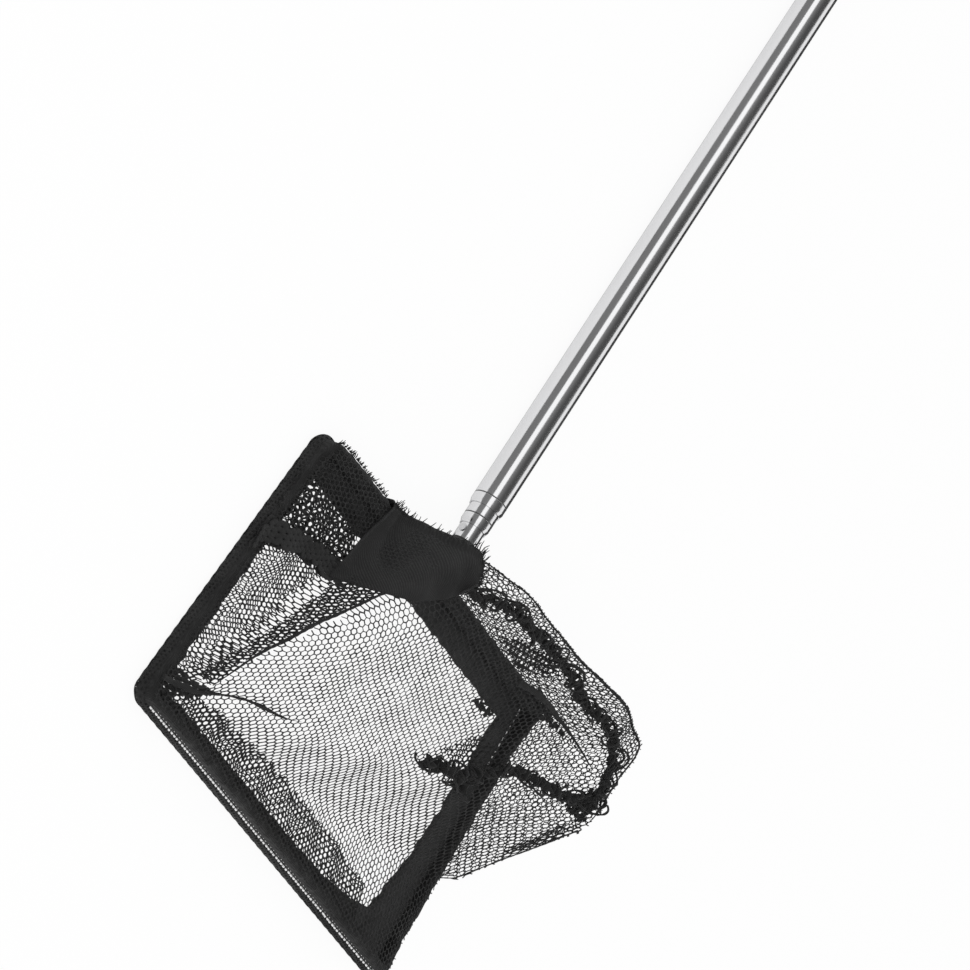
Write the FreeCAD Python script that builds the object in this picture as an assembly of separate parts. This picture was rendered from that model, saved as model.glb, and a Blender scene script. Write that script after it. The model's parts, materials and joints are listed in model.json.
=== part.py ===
import FreeCAD, Part
import math
import os

# Leaf skimmer net on a three-section telescopic pole, pole pushed in, in millimetres.
# It lies as it is set down: mouth of the net on the floor, bag standing up, pole along +Y.
# Shapes are built about the middle of the net frame and moved at the end, so that the
# origin lies on the floor under the middle of the whole object.

# Net frame, measured on the centre line of its wire
FRAME_FRONT_WIDTH = 300.0
FRAME_BACK_WIDTH = 280.0
FRAME_DEPTH = 190.0
FRAME_CORNER_RADIUS = 6.0
WIRE_DIAMETER = 5.0

# Neck of the frame, where both wire ends turn out and rise into the pole
SHANK_GAP = 0.6
SHANK_BEND_RADIUS = 6.5
SHANK_IN_TUBE = 36.0
NECK_LENGTH = 28.0
CRANK_START = 10.0
CRANK_END = 25.0
CRANK_BEND_RADIUS = 7.0

# Cloth of the net
WRAP_DIAMETER = 9.0
WRAP_NECK_CLEARANCE = 1.5
HEM_HEIGHT = 20.0
HEM_THICKNESS = 6.0
HEM_OUTSET = 1.5
FACING_THICKNESS = 2.0
FACING_WIDTHS = {"back": 20.0, "left": 14.0, "front": 14.0, "right": 22.0}
CLOTH_THICKNESS = 2.0
OPENING_PITCH = 25.0
OPENING_SIZE = 19.0
PANEL_BORDER = 3.0
SMALLEST_OPENING = 5.0
PATCH_THICKNESS = 2.5
PATCH_LEFT = 70.0
PATCH_RIGHT = 14.0
SEAM_HEIGHT = 8.0
SEAM_THICKNESS = 2.0
SEAM_INSET = 12.0

# Standing folds of the bag: how far along the back or side edge, and how high
FOLD_FOOT_X = -70.0
FOLD_LEFT_X = -52.0
FOLD_LEFT_TOP = 78.0
RIDGE_X = -20.0
RIDGE_TOP = 98.0
FOLD_PEAK_X = 82.0
FOLD_PEAK_TOP = 111.0
FOLD_CORNER_TOP = 93.0
FOLD_SIDE_RUN = 60.0
FOLD_SIDE_TOP = 91.0
FOLD_END_RUN = 122.0
CROSS_SEAM_END_X = 30.0
CROSS_SEAM_END_Y = -8.0

# Pole sections: outside diameters, walls and what shows of each at the mouth
OUTER_DIAMETER = 22.0
OUTER_WALL = 0.7
OUTER_LENGTH = 567.0
MIDDLE_DIAMETER = 19.0
MIDDLE_WALL = 0.6
MIDDLE_SHOWING = 14.0
INNER_DIAMETER = 16.0
INNER_WALL = 0.6
INNER_SHOWING = 10.0

# Rolled neck and ring groove at the mouth of each section
LIP_LENGTH = 3.0
LIP_STRAIGHT = 1.0
GROOVE_DISTANCE = 6.5
GROOVE_WIDTH = 1.0
GROOVE_DEPTH = 0.25

# Fits inside the pole
SLIDING_CLEARANCE = 0.1
TURNING_CLEARANCE = 0.1
END_PLAY = 0.3
STOP_GAP = 3.0
GUIDE_LENGTH = 40.0
BUSH_LENGTH = 18.0
SPIGOT_LENGTH = 14.0
SPIGOT_BORE = 7.0
LEAF_LENGTH = 12.0
LEAF_WIDTH = 4.0
LEAF_THICKNESS = 0.4
LEAF_POCKET_DEPTH = 1.0
LEAF_POCKET_OVERCUT = 1.0
LEAF_SIDE_PLAY = 0.3

# Tip of the inner section
TIP_PLUG_LENGTH = 40.0
TIP_FLANGE_LENGTH = 2.0
RIVET_DIAMETER = 3.0
RIVET_HEAD_DIAMETER = 5.0
RIVET_HEAD_HEIGHT = 0.8
RIVET_FROM_MOUTH = 6.0

# Grip and hanging end
GRIP_DIAMETER = 27.0
GRIP_LENGTH = 150.0
GRIP_EDGE_RADIUS = 2.0
GRIP_RIB_COUNT = 9
GRIP_RIB_PITCH = 12.0
GRIP_RIB_WIDTH = 3.0
GRIP_RIB_DEPTH = 0.8
CAP_PLUG_LENGTH = 30.0
CAP_FLANGE_LENGTH = 4.0
CAP_TAB_LENGTH = 20.0
CAP_TAB_THICKNESS = 6.0
CAP_TAB_WIDTH = 20.0
HANGING_HOLE_DIAMETER = 9.0

# Places worked out from the sizes above
WIRE_RADIUS = WIRE_DIAMETER / 2
WRAP_RADIUS = WRAP_DIAMETER / 2
RIM_HEIGHT = WRAP_RADIUS
BACK_Y = FRAME_DEPTH / 2
FRONT_Y = -FRAME_DEPTH / 2
SHANK_X = WIRE_RADIUS + SHANK_GAP / 2
AXIS_HEIGHT = GRIP_DIAMETER / 2
CLOTH_TOP = HEM_HEIGHT + CLOTH_THICKNESS
INNER_MOUTH = BACK_Y + NECK_LENGTH
MIDDLE_MOUTH = INNER_MOUTH + INNER_SHOWING
OUTER_MOUTH = MIDDLE_MOUTH + MIDDLE_SHOWING
OUTER_END = OUTER_MOUTH + OUTER_LENGTH
CAP_FRONT = OUTER_END - CAP_PLUG_LENGTH
MIDDLE_END = CAP_FRONT - STOP_GAP - BUSH_LENGTH
INNER_END = MIDDLE_END - SPIGOT_LENGTH - STOP_GAP - BUSH_LENGTH
OBJECT_END = OUTER_END + CAP_FLANGE_LENGTH + CAP_TAB_LENGTH
OBJECT_FRONT = FRONT_Y - WRAP_RADIUS
MIDDLE_OF_LENGTH = (OBJECT_FRONT + OBJECT_END) / 2

UP = FreeCAD.Vector(0, 0, 1)
ALONG_POLE = FreeCAD.Vector(0, 1, 0)


def point(x, y, z=0.0):
    return FreeCAD.Vector(x, y, z)


def unit(direction):
    return FreeCAD.Vector(direction).normalize()


def corner_arc(before, corner, after, radius):
    """Start, middle and end of the arc that rounds a corner of a path."""
    back = unit(before - corner)
    onward = unit(after - corner)
    half_angle = back.getAngle(onward) / 2
    setback = radius / math.tan(half_angle)
    rise = radius / math.sin(half_angle) - radius
    middle = corner + unit(back + onward) * rise
    return corner + back * setback, middle, corner + onward * setback


def bent_path(points, radii):
    """An open path of straight runs joined by arcs, one radius for each inner point."""
    edges = []
    here = points[0]
    for before, corner, after, radius in zip(points, points[1:], points[2:], radii):
        start, middle, end = corner_arc(before, corner, after, radius)
        edges.append(Part.LineSegment(here, start).toShape())
        edges.append(Part.Arc(start, middle, end).toShape())
        here = end
    edges.append(Part.LineSegment(here, points[-1]).toShape())
    return Part.Wire(edges)


def round_bar(path, radius):
    """A round bar along a path of lines and arcs."""
    first = path.Edges[0]
    start = first.valueAt(first.FirstParameter)
    heading = first.tangentAt(first.FirstParameter)
    ring = Part.Wire(Part.makeCircle(radius, start, heading))
    return path.makePipeShell([ring], True, True)


def turned(profile):
    """A solid turned about the pole's axis from (distance along Y, radius) points."""
    corners = [point(0, y, AXIS_HEIGHT + radius) for y, radius in profile]
    face = Part.Face(Part.makePolygon(corners + corners[:1]))
    return face.revolve(point(0, 0, AXIS_HEIGHT), ALONG_POLE, 360)


def cylinder_along_pole(radius, start, length):
    return Part.makeCylinder(radius, length, point(0, start, AXIS_HEIGHT), ALONG_POLE)


def box_between(low, high):
    size = high - low
    return Part.makeBox(size.x, size.y, size.z, low)


def frame_corners():
    """Corners of the frame's centre line: back left, front left, front right, back right."""
    return [
        point(-FRAME_BACK_WIDTH / 2, BACK_Y, RIM_HEIGHT),
        point(-FRAME_FRONT_WIDTH / 2, FRONT_Y, RIM_HEIGHT),
        point(FRAME_FRONT_WIDTH / 2, FRONT_Y, RIM_HEIGHT),
        point(FRAME_BACK_WIDTH / 2, BACK_Y, RIM_HEIGHT),
    ]


def rim_loop():
    """The closed centre line of the rim, started in the middle of the back."""
    start = point(0, BACK_Y, RIM_HEIGHT)
    points = [start] + frame_corners() + [start]
    return bent_path(points, [FRAME_CORNER_RADIUS] * 4)


def tube_section(diameter, wall, mouth, end, next_diameter):
    """A pole section with a rolled neck at its mouth and a ring groove behind it."""
    outside = diameter / 2
    inside = outside - wall
    lip_inside = next_diameter / 2 + SLIDING_CLEARANCE
    lip_outside = lip_inside + wall
    groove = mouth + GROOVE_DISTANCE
    profile = [
        (mouth, lip_inside),
        (mouth, lip_outside),
        (mouth + LIP_STRAIGHT, lip_outside),
        (mouth + LIP_LENGTH, outside),
        (groove, outside),
        (groove + GROOVE_WIDTH / 2, outside - GROOVE_DEPTH),
        (groove + GROOVE_WIDTH, outside),
        (end, outside),
        (end, inside),
        (mouth + LIP_LENGTH, inside),
        (mouth + LIP_STRAIGHT, lip_inside),
    ]
    return turned(profile)


def inner_tube():
    """The last section, plain at its tip, with the cross hole of the tip rivet."""
    outside = INNER_DIAMETER / 2
    length = INNER_END - INNER_MOUTH
    tube = cylinder_along_pole(outside, INNER_MOUTH, length)
    tube = tube.cut(cylinder_along_pole(outside - INNER_WALL, INNER_MOUTH, length))
    return tube.cut(rivet_shank())


def mouth_guide(bore, mouth, next_diameter):
    """Plastic sleeve behind the rolled neck, which guides the next section."""
    start = mouth + LIP_LENGTH
    sleeve = cylinder_along_pole(bore / 2, start, GUIDE_LENGTH)
    hole = next_diameter / 2 + SLIDING_CLEARANCE
    return sleeve.cut(cylinder_along_pole(hole, start, GUIDE_LENGTH))


def slide_bush(bore, tube_bore, tube_end):
    """Bush at the inner end of a section: a head that slides and a spigot that it turns on."""
    head_start = tube_end + END_PLAY
    head = cylinder_along_pole(bore / 2 - SLIDING_CLEARANCE, head_start, BUSH_LENGTH - END_PLAY)
    spigot_start = tube_end - SPIGOT_LENGTH
    spigot_radius = tube_bore / 2 - TURNING_CLEARANCE
    spigot = cylinder_along_pole(spigot_radius, spigot_start, SPIGOT_LENGTH + END_PLAY)
    hole_length = BUSH_LENGTH + SPIGOT_LENGTH
    hole = cylinder_along_pole(SPIGOT_BORE / 2, spigot_start, hole_length)
    bush = head.fuse(spigot).cut(hole)
    for side in (-1, 1):
        bush = bush.cut(leaf_pocket(bore, tube_end, side))
    return bush.removeSplitter()


def leaf_middle(tube_end):
    return tube_end + BUSH_LENGTH / 2


def leaf_pocket(bore, tube_end, side):
    """Pocket for a friction leaf in the side of a bush's head."""
    outer = bore / 2
    floor = outer - SLIDING_CLEARANCE - LEAF_POCKET_DEPTH
    half_length = LEAF_LENGTH / 2
    half_width = LEAF_WIDTH / 2 + LEAF_SIDE_PLAY
    middle = leaf_middle(tube_end)
    x_low, x_high = sorted((side * floor, side * (outer + LEAF_POCKET_OVERCUT)))
    low = point(x_low, middle - half_length, AXIS_HEIGHT - half_width)
    high = point(x_high, middle + half_length, AXIS_HEIGHT + half_width)
    return box_between(low, high)


def friction_leaf(bore, tube_end, side):
    """Bowed spring strip that presses on the bore of the section around it."""
    floor = bore / 2 - SLIDING_CLEARANCE - LEAF_POCKET_DEPTH
    corner_drop = bore / 2 - math.sqrt((bore / 2) ** 2 - (LEAF_WIDTH / 2) ** 2)
    crown = bore / 2 - SLIDING_CLEARANCE - corner_drop
    middle = leaf_middle(tube_end)
    half_length = LEAF_LENGTH / 2

    def bow(start_radius, top_radius):
        start = point(side * start_radius, middle - half_length, 0)
        top = point(side * top_radius, middle, 0)
        end = point(side * start_radius, middle + half_length, 0)
        return Part.Arc(start, top, end).toShape()

    outer = bow(floor + LEAF_THICKNESS, crown)
    inner = bow(floor, crown - LEAF_THICKNESS)
    ends = [
        Part.LineSegment(inner.valueAt(parameter), outer.valueAt(other)).toShape()
        for parameter, other in (
            (inner.FirstParameter, outer.FirstParameter),
            (inner.LastParameter, outer.LastParameter),
        )
    ]
    outline = Part.Wire(Part.sortEdges([outer, inner] + ends)[0])
    strip = Part.Face(outline).extrude(point(0, 0, LEAF_WIDTH))
    return strip.translated(point(0, 0, AXIS_HEIGHT - LEAF_WIDTH / 2))


def friction_leaves(bore, tube_end):
    return Part.Compound([friction_leaf(bore, tube_end, side) for side in (-1, 1)])


def shank_path(side):
    """Points of one wire end, from inside the pole out to the back of the rim."""
    x = side * SHANK_X
    return [
        point(x, INNER_MOUTH + SHANK_IN_TUBE, AXIS_HEIGHT),
        point(x, BACK_Y + CRANK_END, AXIS_HEIGHT),
        point(x, BACK_Y + CRANK_START, RIM_HEIGHT),
        point(x, BACK_Y, RIM_HEIGHT),
    ]


def frame_wire():
    """The one wire of the frame: down from the pole, round the rim and up again."""
    points = shank_path(-1) + frame_corners() + shank_path(1)[::-1]
    crank = [CRANK_BEND_RADIUS, CRANK_BEND_RADIUS, SHANK_BEND_RADIUS]
    radii = crank + [FRAME_CORNER_RADIUS] * 4 + crank[::-1]
    return round_bar(bent_path(points, radii), WIRE_RADIUS).cut(rivet_shank())


def rivet_place():
    return INNER_MOUTH + RIVET_FROM_MOUTH


def rivet_shank():
    half = INNER_DIAMETER / 2
    start = point(-half, rivet_place(), AXIS_HEIGHT)
    return Part.makeCylinder(RIVET_DIAMETER / 2, INNER_DIAMETER, start, point(1, 0, 0))


def tip_rivet():
    """Rivet through the tube, the plug and both wire ends, with a head at each side."""
    rivet = rivet_shank()
    half = INNER_DIAMETER / 2
    for side in (-1, 1):
        base = point(side * half, rivet_place(), AXIS_HEIGHT)
        height = RIVET_HEAD_HEIGHT
        head = Part.makeCylinder(RIVET_HEAD_DIAMETER / 2, height, base, point(side, 0, 0))
        rivet = rivet.fuse(head)
    tube = cylinder_along_pole(half, INNER_MOUTH, INNER_END - INNER_MOUTH)
    outside = rivet.cut(tube)
    return rivet_shank().fuse(outside).removeSplitter()


def tip_plug():
    """Plug that fills the tube's tip around the two wire ends."""
    flange = cylinder_along_pole(INNER_DIAMETER / 2, INNER_MOUTH - TIP_FLANGE_LENGTH, TIP_FLANGE_LENGTH)
    body_radius = INNER_DIAMETER / 2 - INNER_WALL
    body = cylinder_along_pole(body_radius, INNER_MOUTH, TIP_PLUG_LENGTH)
    plug = flange.fuse(body)
    start = INNER_MOUTH - TIP_FLANGE_LENGTH
    length = SHANK_IN_TUBE + TIP_FLANGE_LENGTH
    for side in (-1, 1):
        place = point(side * SHANK_X, start, AXIS_HEIGHT)
        plug = plug.cut(Part.makeCylinder(WIRE_RADIUS, length, place, ALONG_POLE))
    return plug.cut(rivet_shank())


def side_wedge(first, second):
    """Tall wedge from the middle of the frame out past two corners of the rim, twice as far."""
    corners = [point(0, 0), point(first.x, first.y) * 2, point(second.x, second.y) * 2]
    face = Part.Face(Part.makePolygon(corners + corners[:1]))
    return face.extrude(UP * FOLD_PEAK_TOP)


def rim_sides():
    back_left, front_left, front_right, back_right = frame_corners()
    return {
        "back": (back_right, back_left),
        "left": (back_left, front_left),
        "front": (front_left, front_right),
        "right": (front_right, back_right),
    }


def rim_wraps():
    """Mesh wound round the wire, side by side, left open at the neck."""
    loop = round_bar(rim_loop(), WRAP_RADIUS).cut(round_bar(rim_loop(), WIRE_RADIUS))
    half_neck = SHANK_X + SHANK_BEND_RADIUS + WRAP_NECK_CLEARANCE
    neck_low = point(-half_neck, BACK_Y - WRAP_DIAMETER, 0)
    neck_high = point(half_neck, BACK_Y + WRAP_DIAMETER, WRAP_DIAMETER)
    loop = loop.cut(box_between(neck_low, neck_high))
    wraps = {}
    for side, (first, second) in rim_sides().items():
        piece = loop.common(side_wedge(first, second))
        if side == "back":
            left, right = sorted(piece.Solids, key=lambda solid: solid.CenterOfMass.x)
            wraps["rim_wrap_back_left"] = left
            wraps["rim_wrap_back_right"] = right
        else:
            wraps["rim_wrap_" + side] = piece
    return wraps


def hem_bands():
    """Upright hem on the four sides, seated on the round of the rim."""
    outer = Part.Face(rim_loop().makeOffset2D(HEM_OUTSET))
    inner = Part.Face(rim_loop().makeOffset2D(HEM_OUTSET - HEM_THICKNESS))
    ring = outer.cut(inner).extrude(UP * (HEM_HEIGHT - RIM_HEIGHT))
    ring = ring.cut(round_bar(rim_loop(), WRAP_RADIUS))
    return {
        "hem_" + side: ring.common(side_wedge(first, second))
        for side, (first, second) in rim_sides().items()
    }


def hem_facings():
    """Flat inner edge of the hem on the four sides, turned in from the wrapped rim."""
    inside_rim = Part.Face(rim_loop())
    facings = {}
    for side, (first, second) in rim_sides().items():
        inward = UP.cross(unit(second - first)) * FACING_WIDTHS[side]
        corners = [first, second, second + inward, first + inward]
        strip = Part.Face(Part.makePolygon(corners + corners[:1])).common(inside_rim)
        strip = strip.extrude(UP * -FACING_THICKNESS)
        strip = strip.common(side_wedge(first, second)).cut(round_bar(rim_loop(), WRAP_RADIUS))
        facings["hem_facing_" + side] = largest(strip)
    return facings


def bag_points():
    """Named points of the bag's upper side, each at the height of its outer face."""
    corners = frame_corners()
    names = ("back_left", "front_left", "front_right", "back_right")
    points = {}
    for number, name in enumerate(names):
        before = corners[number - 1]
        after = corners[(number + 1) % 4]
        middle = corner_arc(before, corners[number], after, FRAME_CORNER_RADIUS)[1]
        points[name] = point(middle.x, middle.y, CLOTH_TOP)
    back = points["back_left"].y
    corner = points["back_right"]
    run = unit(points["front_right"] - corner)
    points["fold_foot"] = point(FOLD_FOOT_X, back, CLOTH_TOP)
    points["fold_left"] = point(FOLD_LEFT_X, back, FOLD_LEFT_TOP)
    points["ridge"] = point(RIDGE_X, back, RIDGE_TOP)
    points["peak"] = point(FOLD_PEAK_X, back, FOLD_PEAK_TOP)
    points["fold_corner"] = point(corner.x, corner.y, FOLD_CORNER_TOP)
    side = corner + run * FOLD_SIDE_RUN
    points["fold_side"] = point(side.x, side.y, FOLD_SIDE_TOP)
    points["fold_end"] = corner + run * FOLD_END_RUN
    return points


BAG_TOP_PANELS = {
    "bag_left_panel": ("back_left", "front_left", "fold_foot"),
    "bag_fold_panel": ("fold_foot", "front_left", "fold_left"),
    "bag_main_panel_left": ("fold_left", "front_left", "ridge"),
    "bag_main_panel_middle": ("ridge", "front_left", "peak"),
    "bag_main_panel_right": ("peak", "front_left", "fold_side"),
    "bag_corner_panel": ("peak", "fold_side", "fold_corner"),
    "bag_side_panel": ("fold_side", "front_left", "fold_end"),
    "bag_front_panel": ("fold_end", "front_left", "front_right"),
}


def panel(names, points, down, up=0.0):
    """A panel of the bag's upper side, from up above its face to down below it."""
    corners = [points[name] + UP * up for name in names]
    face = Part.Face(Part.makePolygon(corners + corners[:1]))
    return face.extrude(UP * -(down + up))


def grid_of_openings(low, high, across, along, base):
    """Square holes on one plain grid, as flat faces from base, for places from low to high."""
    first = [math.floor(value / OPENING_PITCH) for value in low]
    last = [math.ceil(value / OPENING_PITCH) for value in high]
    squares = []
    for column in range(first[0], last[0] + 1):
        for row in range(first[1], last[1] + 1):
            corner = base + across * (column * OPENING_PITCH) + along * (row * OPENING_PITCH)
            side = across * OPENING_SIZE
            rise = along * OPENING_SIZE
            outline = [corner, corner + side, corner + side + rise, corner + rise, corner]
            squares.append(Part.Face(Part.makePolygon(outline)))
    return Part.Compound(squares)


def with_openings(plate, outline, across, along, through):
    """Cuts the plain grid of openings in a plate, inside its outline and clear of its edges."""
    edge = Part.makePolygon(outline + outline[:1])
    field = Part.Face(edge.makeOffset2D(-PANEL_BORDER))
    base = outline[0]
    base = base - across * base.dot(across) - along * base.dot(along)
    places = [(corner.dot(across), corner.dot(along)) for corner in outline]
    low = [min(values) for values in zip(*places)]
    high = [max(values) for values in zip(*places)]
    holes = grid_of_openings(low, high, across, along, base).common(field)
    for hole in holes.Faces:
        if hole.Area > SMALLEST_OPENING ** 2:
            plate = plate.cut(hole.extrude(through))
    return plate


def bag_wall(first, second, points):
    """Upright wall from the hem up to the panels, between two corners of the bag."""
    start = points[first]
    end = points[second]
    run = unit(point(end.x - start.x, end.y - start.y))
    inward = UP.cross(run)
    base = point(start.x, start.y, HEM_HEIGHT)
    across = point(end.x, end.y, HEM_HEIGHT)
    corners = [base, across, across + inward * CLOTH_THICKNESS, base + inward * CLOTH_THICKNESS]
    face = Part.Face(Part.makePolygon(corners + corners[:1]))
    wall = face.extrude(UP * FOLD_PEAK_TOP)
    for names in BAG_TOP_PANELS.values():
        wall = wall.cut(panel(names, points, CLOTH_THICKNESS, FOLD_PEAK_TOP))
    return wall


def bag_panels():
    """The bag: panels over the hem and two upright walls at the back and the right."""
    points = bag_points()
    pieces = {}
    for name, corners in BAG_TOP_PANELS.items():
        outline = [point(points[corner].x, points[corner].y) for corner in corners]
        plate = panel(corners, points, CLOTH_THICKNESS)
        reach = UP * FOLD_PEAK_TOP
        pieces[name] = with_openings(plate, outline, point(1, 0), ALONG_POLE, reach)
    back = bag_wall("back_right", "back_left", points)
    side = bag_wall("fold_end", "back_right", points)
    back_top = ("back_left", "fold_foot", "fold_left", "ridge", "peak", "fold_corner", "back_right")
    side_top = ("back_right", "fold_corner", "fold_side", "fold_end")
    pieces["bag_back_wall"] = open_wall(largest(back.cut(side)), back_top, points)
    pieces["bag_side_wall"] = open_wall(largest(side), side_top, points)
    return pieces


def open_wall(wall, names, points):
    """Cuts the grid of openings in an upright wall below the named points of its top."""
    top = [points[name] for name in names]
    run = unit(point(top[-1].x - top[0].x, top[-1].y - top[0].y))
    inward = run.cross(UP) * CLOTH_THICKNESS
    outside = top[0] - UP * CLOTH_THICKNESS - inward
    steps = [place - top[0] for place in top]
    outline = [outside + run * step.dot(run) + UP * step.z for step in steps]
    through = inward * 3
    return with_openings(wall, outline, run, UP, through)


def largest(shape):
    return max(shape.Solids, key=lambda solid: solid.Volume)


def seam_strip(first, second):
    """Upright strip of seam allowance between two points of the bag's upper side."""
    run = unit(point(second.x - first.x, second.y - first.y))
    across = UP.cross(run) * (SEAM_THICKNESS / 2)
    low = high = UP * SEAM_HEIGHT
    outline = [first - low, second - low, second + high, first + high]
    corners = [corner - across for corner in outline]
    face = Part.Face(Part.makePolygon(corners + corners[:1]))
    return face.extrude(across * 2)


def inset(place, points):
    """A point of the bag's upper side, drawn in from its edge towards the middle."""
    inward = unit(point(-place.x, -place.y)) * SEAM_INSET
    return on_panels(place.x + inward.x, place.y + inward.y, points)


def standing_seams():
    """The gathered seams that stand up from the bag along its folds."""
    points = bag_points()
    tops = ("fold_left", "ridge", "peak", "fold_corner", "fold_side")
    left, ridge, peak, corner, side = (inset(points[name], points) for name in tops)
    cross_end = on_panels(CROSS_SEAM_END_X, CROSS_SEAM_END_Y, points)
    runs = {
        "seam_back_left": (left, ridge),
        "seam_back": (ridge, peak),
        "seam_corner": (peak, corner),
        "seam_side": (corner, side),
        "seam_cross": (side, cross_end),
    }
    seams = {}
    for name, (first, second) in runs.items():
        strip = seam_strip(first, second)
        for names in BAG_TOP_PANELS.values():
            strip = strip.cut(panel(names, points, FOLD_PEAK_TOP))
        for other in seams.values():
            strip = strip.cut(other)
        seams[name] = largest(strip)
    return seams


def on_panels(x, y, points):
    """The point of the bag's upper side above a place on the floor."""
    probe = Part.LineSegment(point(x, y, 0), point(x, y, 2 * FOLD_PEAK_TOP)).toShape()
    tops = []
    for names in BAG_TOP_PANELS.values():
        touched = probe.common(panel(names, points, CLOTH_THICKNESS))
        tops.extend(vertex.Z for vertex in touched.Vertexes)
    return point(x, y, max(tops))


def neck_patch():
    """Patch of gathered cloth on the outside of the back hem, over the neck."""
    outer = BACK_Y + HEM_OUTSET
    low = point(-PATCH_LEFT, outer, WRAP_DIAMETER)
    high = point(PATCH_RIGHT, outer + PATCH_THICKNESS, HEM_HEIGHT)
    return box_between(low, high).cut(frame_wire())


def grip():
    """Soft ribbed sleeve on the end of the outer section."""
    start = OUTER_END - GRIP_LENGTH
    outside = GRIP_DIAMETER / 2
    edge = GRIP_EDGE_RADIUS
    profile = [
        (start, OUTER_DIAMETER / 2),
        (start, outside - edge),
        (start + edge, outside),
    ]
    first_rib = start + (GRIP_LENGTH - GRIP_RIB_PITCH * (GRIP_RIB_COUNT - 1)) / 2
    for number in range(GRIP_RIB_COUNT):
        middle = first_rib + number * GRIP_RIB_PITCH
        profile.append((middle - GRIP_RIB_WIDTH / 2, outside))
        profile.append((middle, outside - GRIP_RIB_DEPTH))
        profile.append((middle + GRIP_RIB_WIDTH / 2, outside))
    profile.extend([
        (OUTER_END - edge, outside),
        (OUTER_END, outside - edge),
        (OUTER_END, OUTER_DIAMETER / 2),
    ])
    return turned(profile)


def end_cap():
    """Plug in the end of the outer section, with a tab to hang the net from."""
    plug = cylinder_along_pole(OUTER_DIAMETER / 2 - OUTER_WALL, CAP_FRONT, CAP_PLUG_LENGTH)
    flange_radius = GRIP_DIAMETER / 2 - GRIP_EDGE_RADIUS
    flange = cylinder_along_pole(flange_radius, OUTER_END, CAP_FLANGE_LENGTH)
    tab_start = OUTER_END + CAP_FLANGE_LENGTH
    round_radius = CAP_TAB_WIDTH / 2
    tab_low = AXIS_HEIGHT - CAP_TAB_THICKNESS / 2
    tab = box_between(
        point(-round_radius, tab_start, tab_low),
        point(round_radius, OBJECT_END - round_radius, tab_low + CAP_TAB_THICKNESS),
    )
    eye = point(0, OBJECT_END - round_radius, tab_low)
    tab = tab.fuse(Part.makeCylinder(round_radius, CAP_TAB_THICKNESS, eye, UP))
    hole = Part.makeCylinder(HANGING_HOLE_DIAMETER / 2, CAP_TAB_THICKNESS, eye, UP)
    return plug.fuse(flange).fuse(tab).cut(hole).removeSplitter()


def pole_pieces():
    """The three sections of the pole with what guides and holds them."""
    outer_bore = OUTER_DIAMETER - 2 * OUTER_WALL
    middle_bore = MIDDLE_DIAMETER - 2 * MIDDLE_WALL
    inner_bore = INNER_DIAMETER - 2 * INNER_WALL
    return {
        "outer_tube": tube_section(
            OUTER_DIAMETER, OUTER_WALL, OUTER_MOUTH, OUTER_END, MIDDLE_DIAMETER
        ),
        "outer_mouth_guide": mouth_guide(outer_bore, OUTER_MOUTH, MIDDLE_DIAMETER),
        "grip": grip(),
        "end_cap": end_cap(),
        "middle_tube": tube_section(
            MIDDLE_DIAMETER, MIDDLE_WALL, MIDDLE_MOUTH, MIDDLE_END, INNER_DIAMETER
        ),
        "middle_mouth_guide": mouth_guide(middle_bore, MIDDLE_MOUTH, INNER_DIAMETER),
        "middle_slide_bush": slide_bush(outer_bore, middle_bore, MIDDLE_END),
        "middle_friction_leaves": friction_leaves(outer_bore, MIDDLE_END),
        "inner_tube": inner_tube(),
        "inner_slide_bush": slide_bush(middle_bore, inner_bore, INNER_END),
        "inner_friction_leaves": friction_leaves(middle_bore, INNER_END),
        "tip_plug": tip_plug(),
        "tip_rivet": tip_rivet(),
    }


def net_pieces():
    """The frame and the cloth of the net."""
    pieces = {"frame_wire": frame_wire(), "neck_patch": neck_patch()}
    pieces.update(rim_wraps())
    pieces.update(hem_bands())
    pieces.update(hem_facings())
    pieces.update(bag_panels())
    pieces.update(standing_seams())
    return pieces


def travels():
    """How far each section comes out, until its bush meets the guide before it."""
    outer_stop = OUTER_MOUTH + LIP_LENGTH + GUIDE_LENGTH
    middle_stop = MIDDLE_MOUTH + LIP_LENGTH + GUIDE_LENGTH
    return MIDDLE_END + END_PLAY - outer_stop, INNER_END + END_PLAY - middle_stop


def build():
    os.makedirs("parts", exist_ok=True)
    pieces = pole_pieces()
    pieces.update(net_pieces())
    move = point(0, -MIDDLE_OF_LENGTH, 0)
    for name, shape in pieces.items():
        placed = shape.translated(move)
        placed.exportStep("parts/" + name + ".step")
        print(name, len(placed.Solids), "solids, valid", placed.isValid(), round(placed.Volume, 1))
    middle_travel, inner_travel = travels()
    print("middle section travel", middle_travel, "inner section travel", inner_travel)
    print("frame middle at y", -MIDDLE_OF_LENGTH, "pole axis at z", AXIS_HEIGHT)


build()
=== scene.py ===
import json
import math

import bpy
import numpy as np
from mathutils import Matrix, Vector

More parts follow.
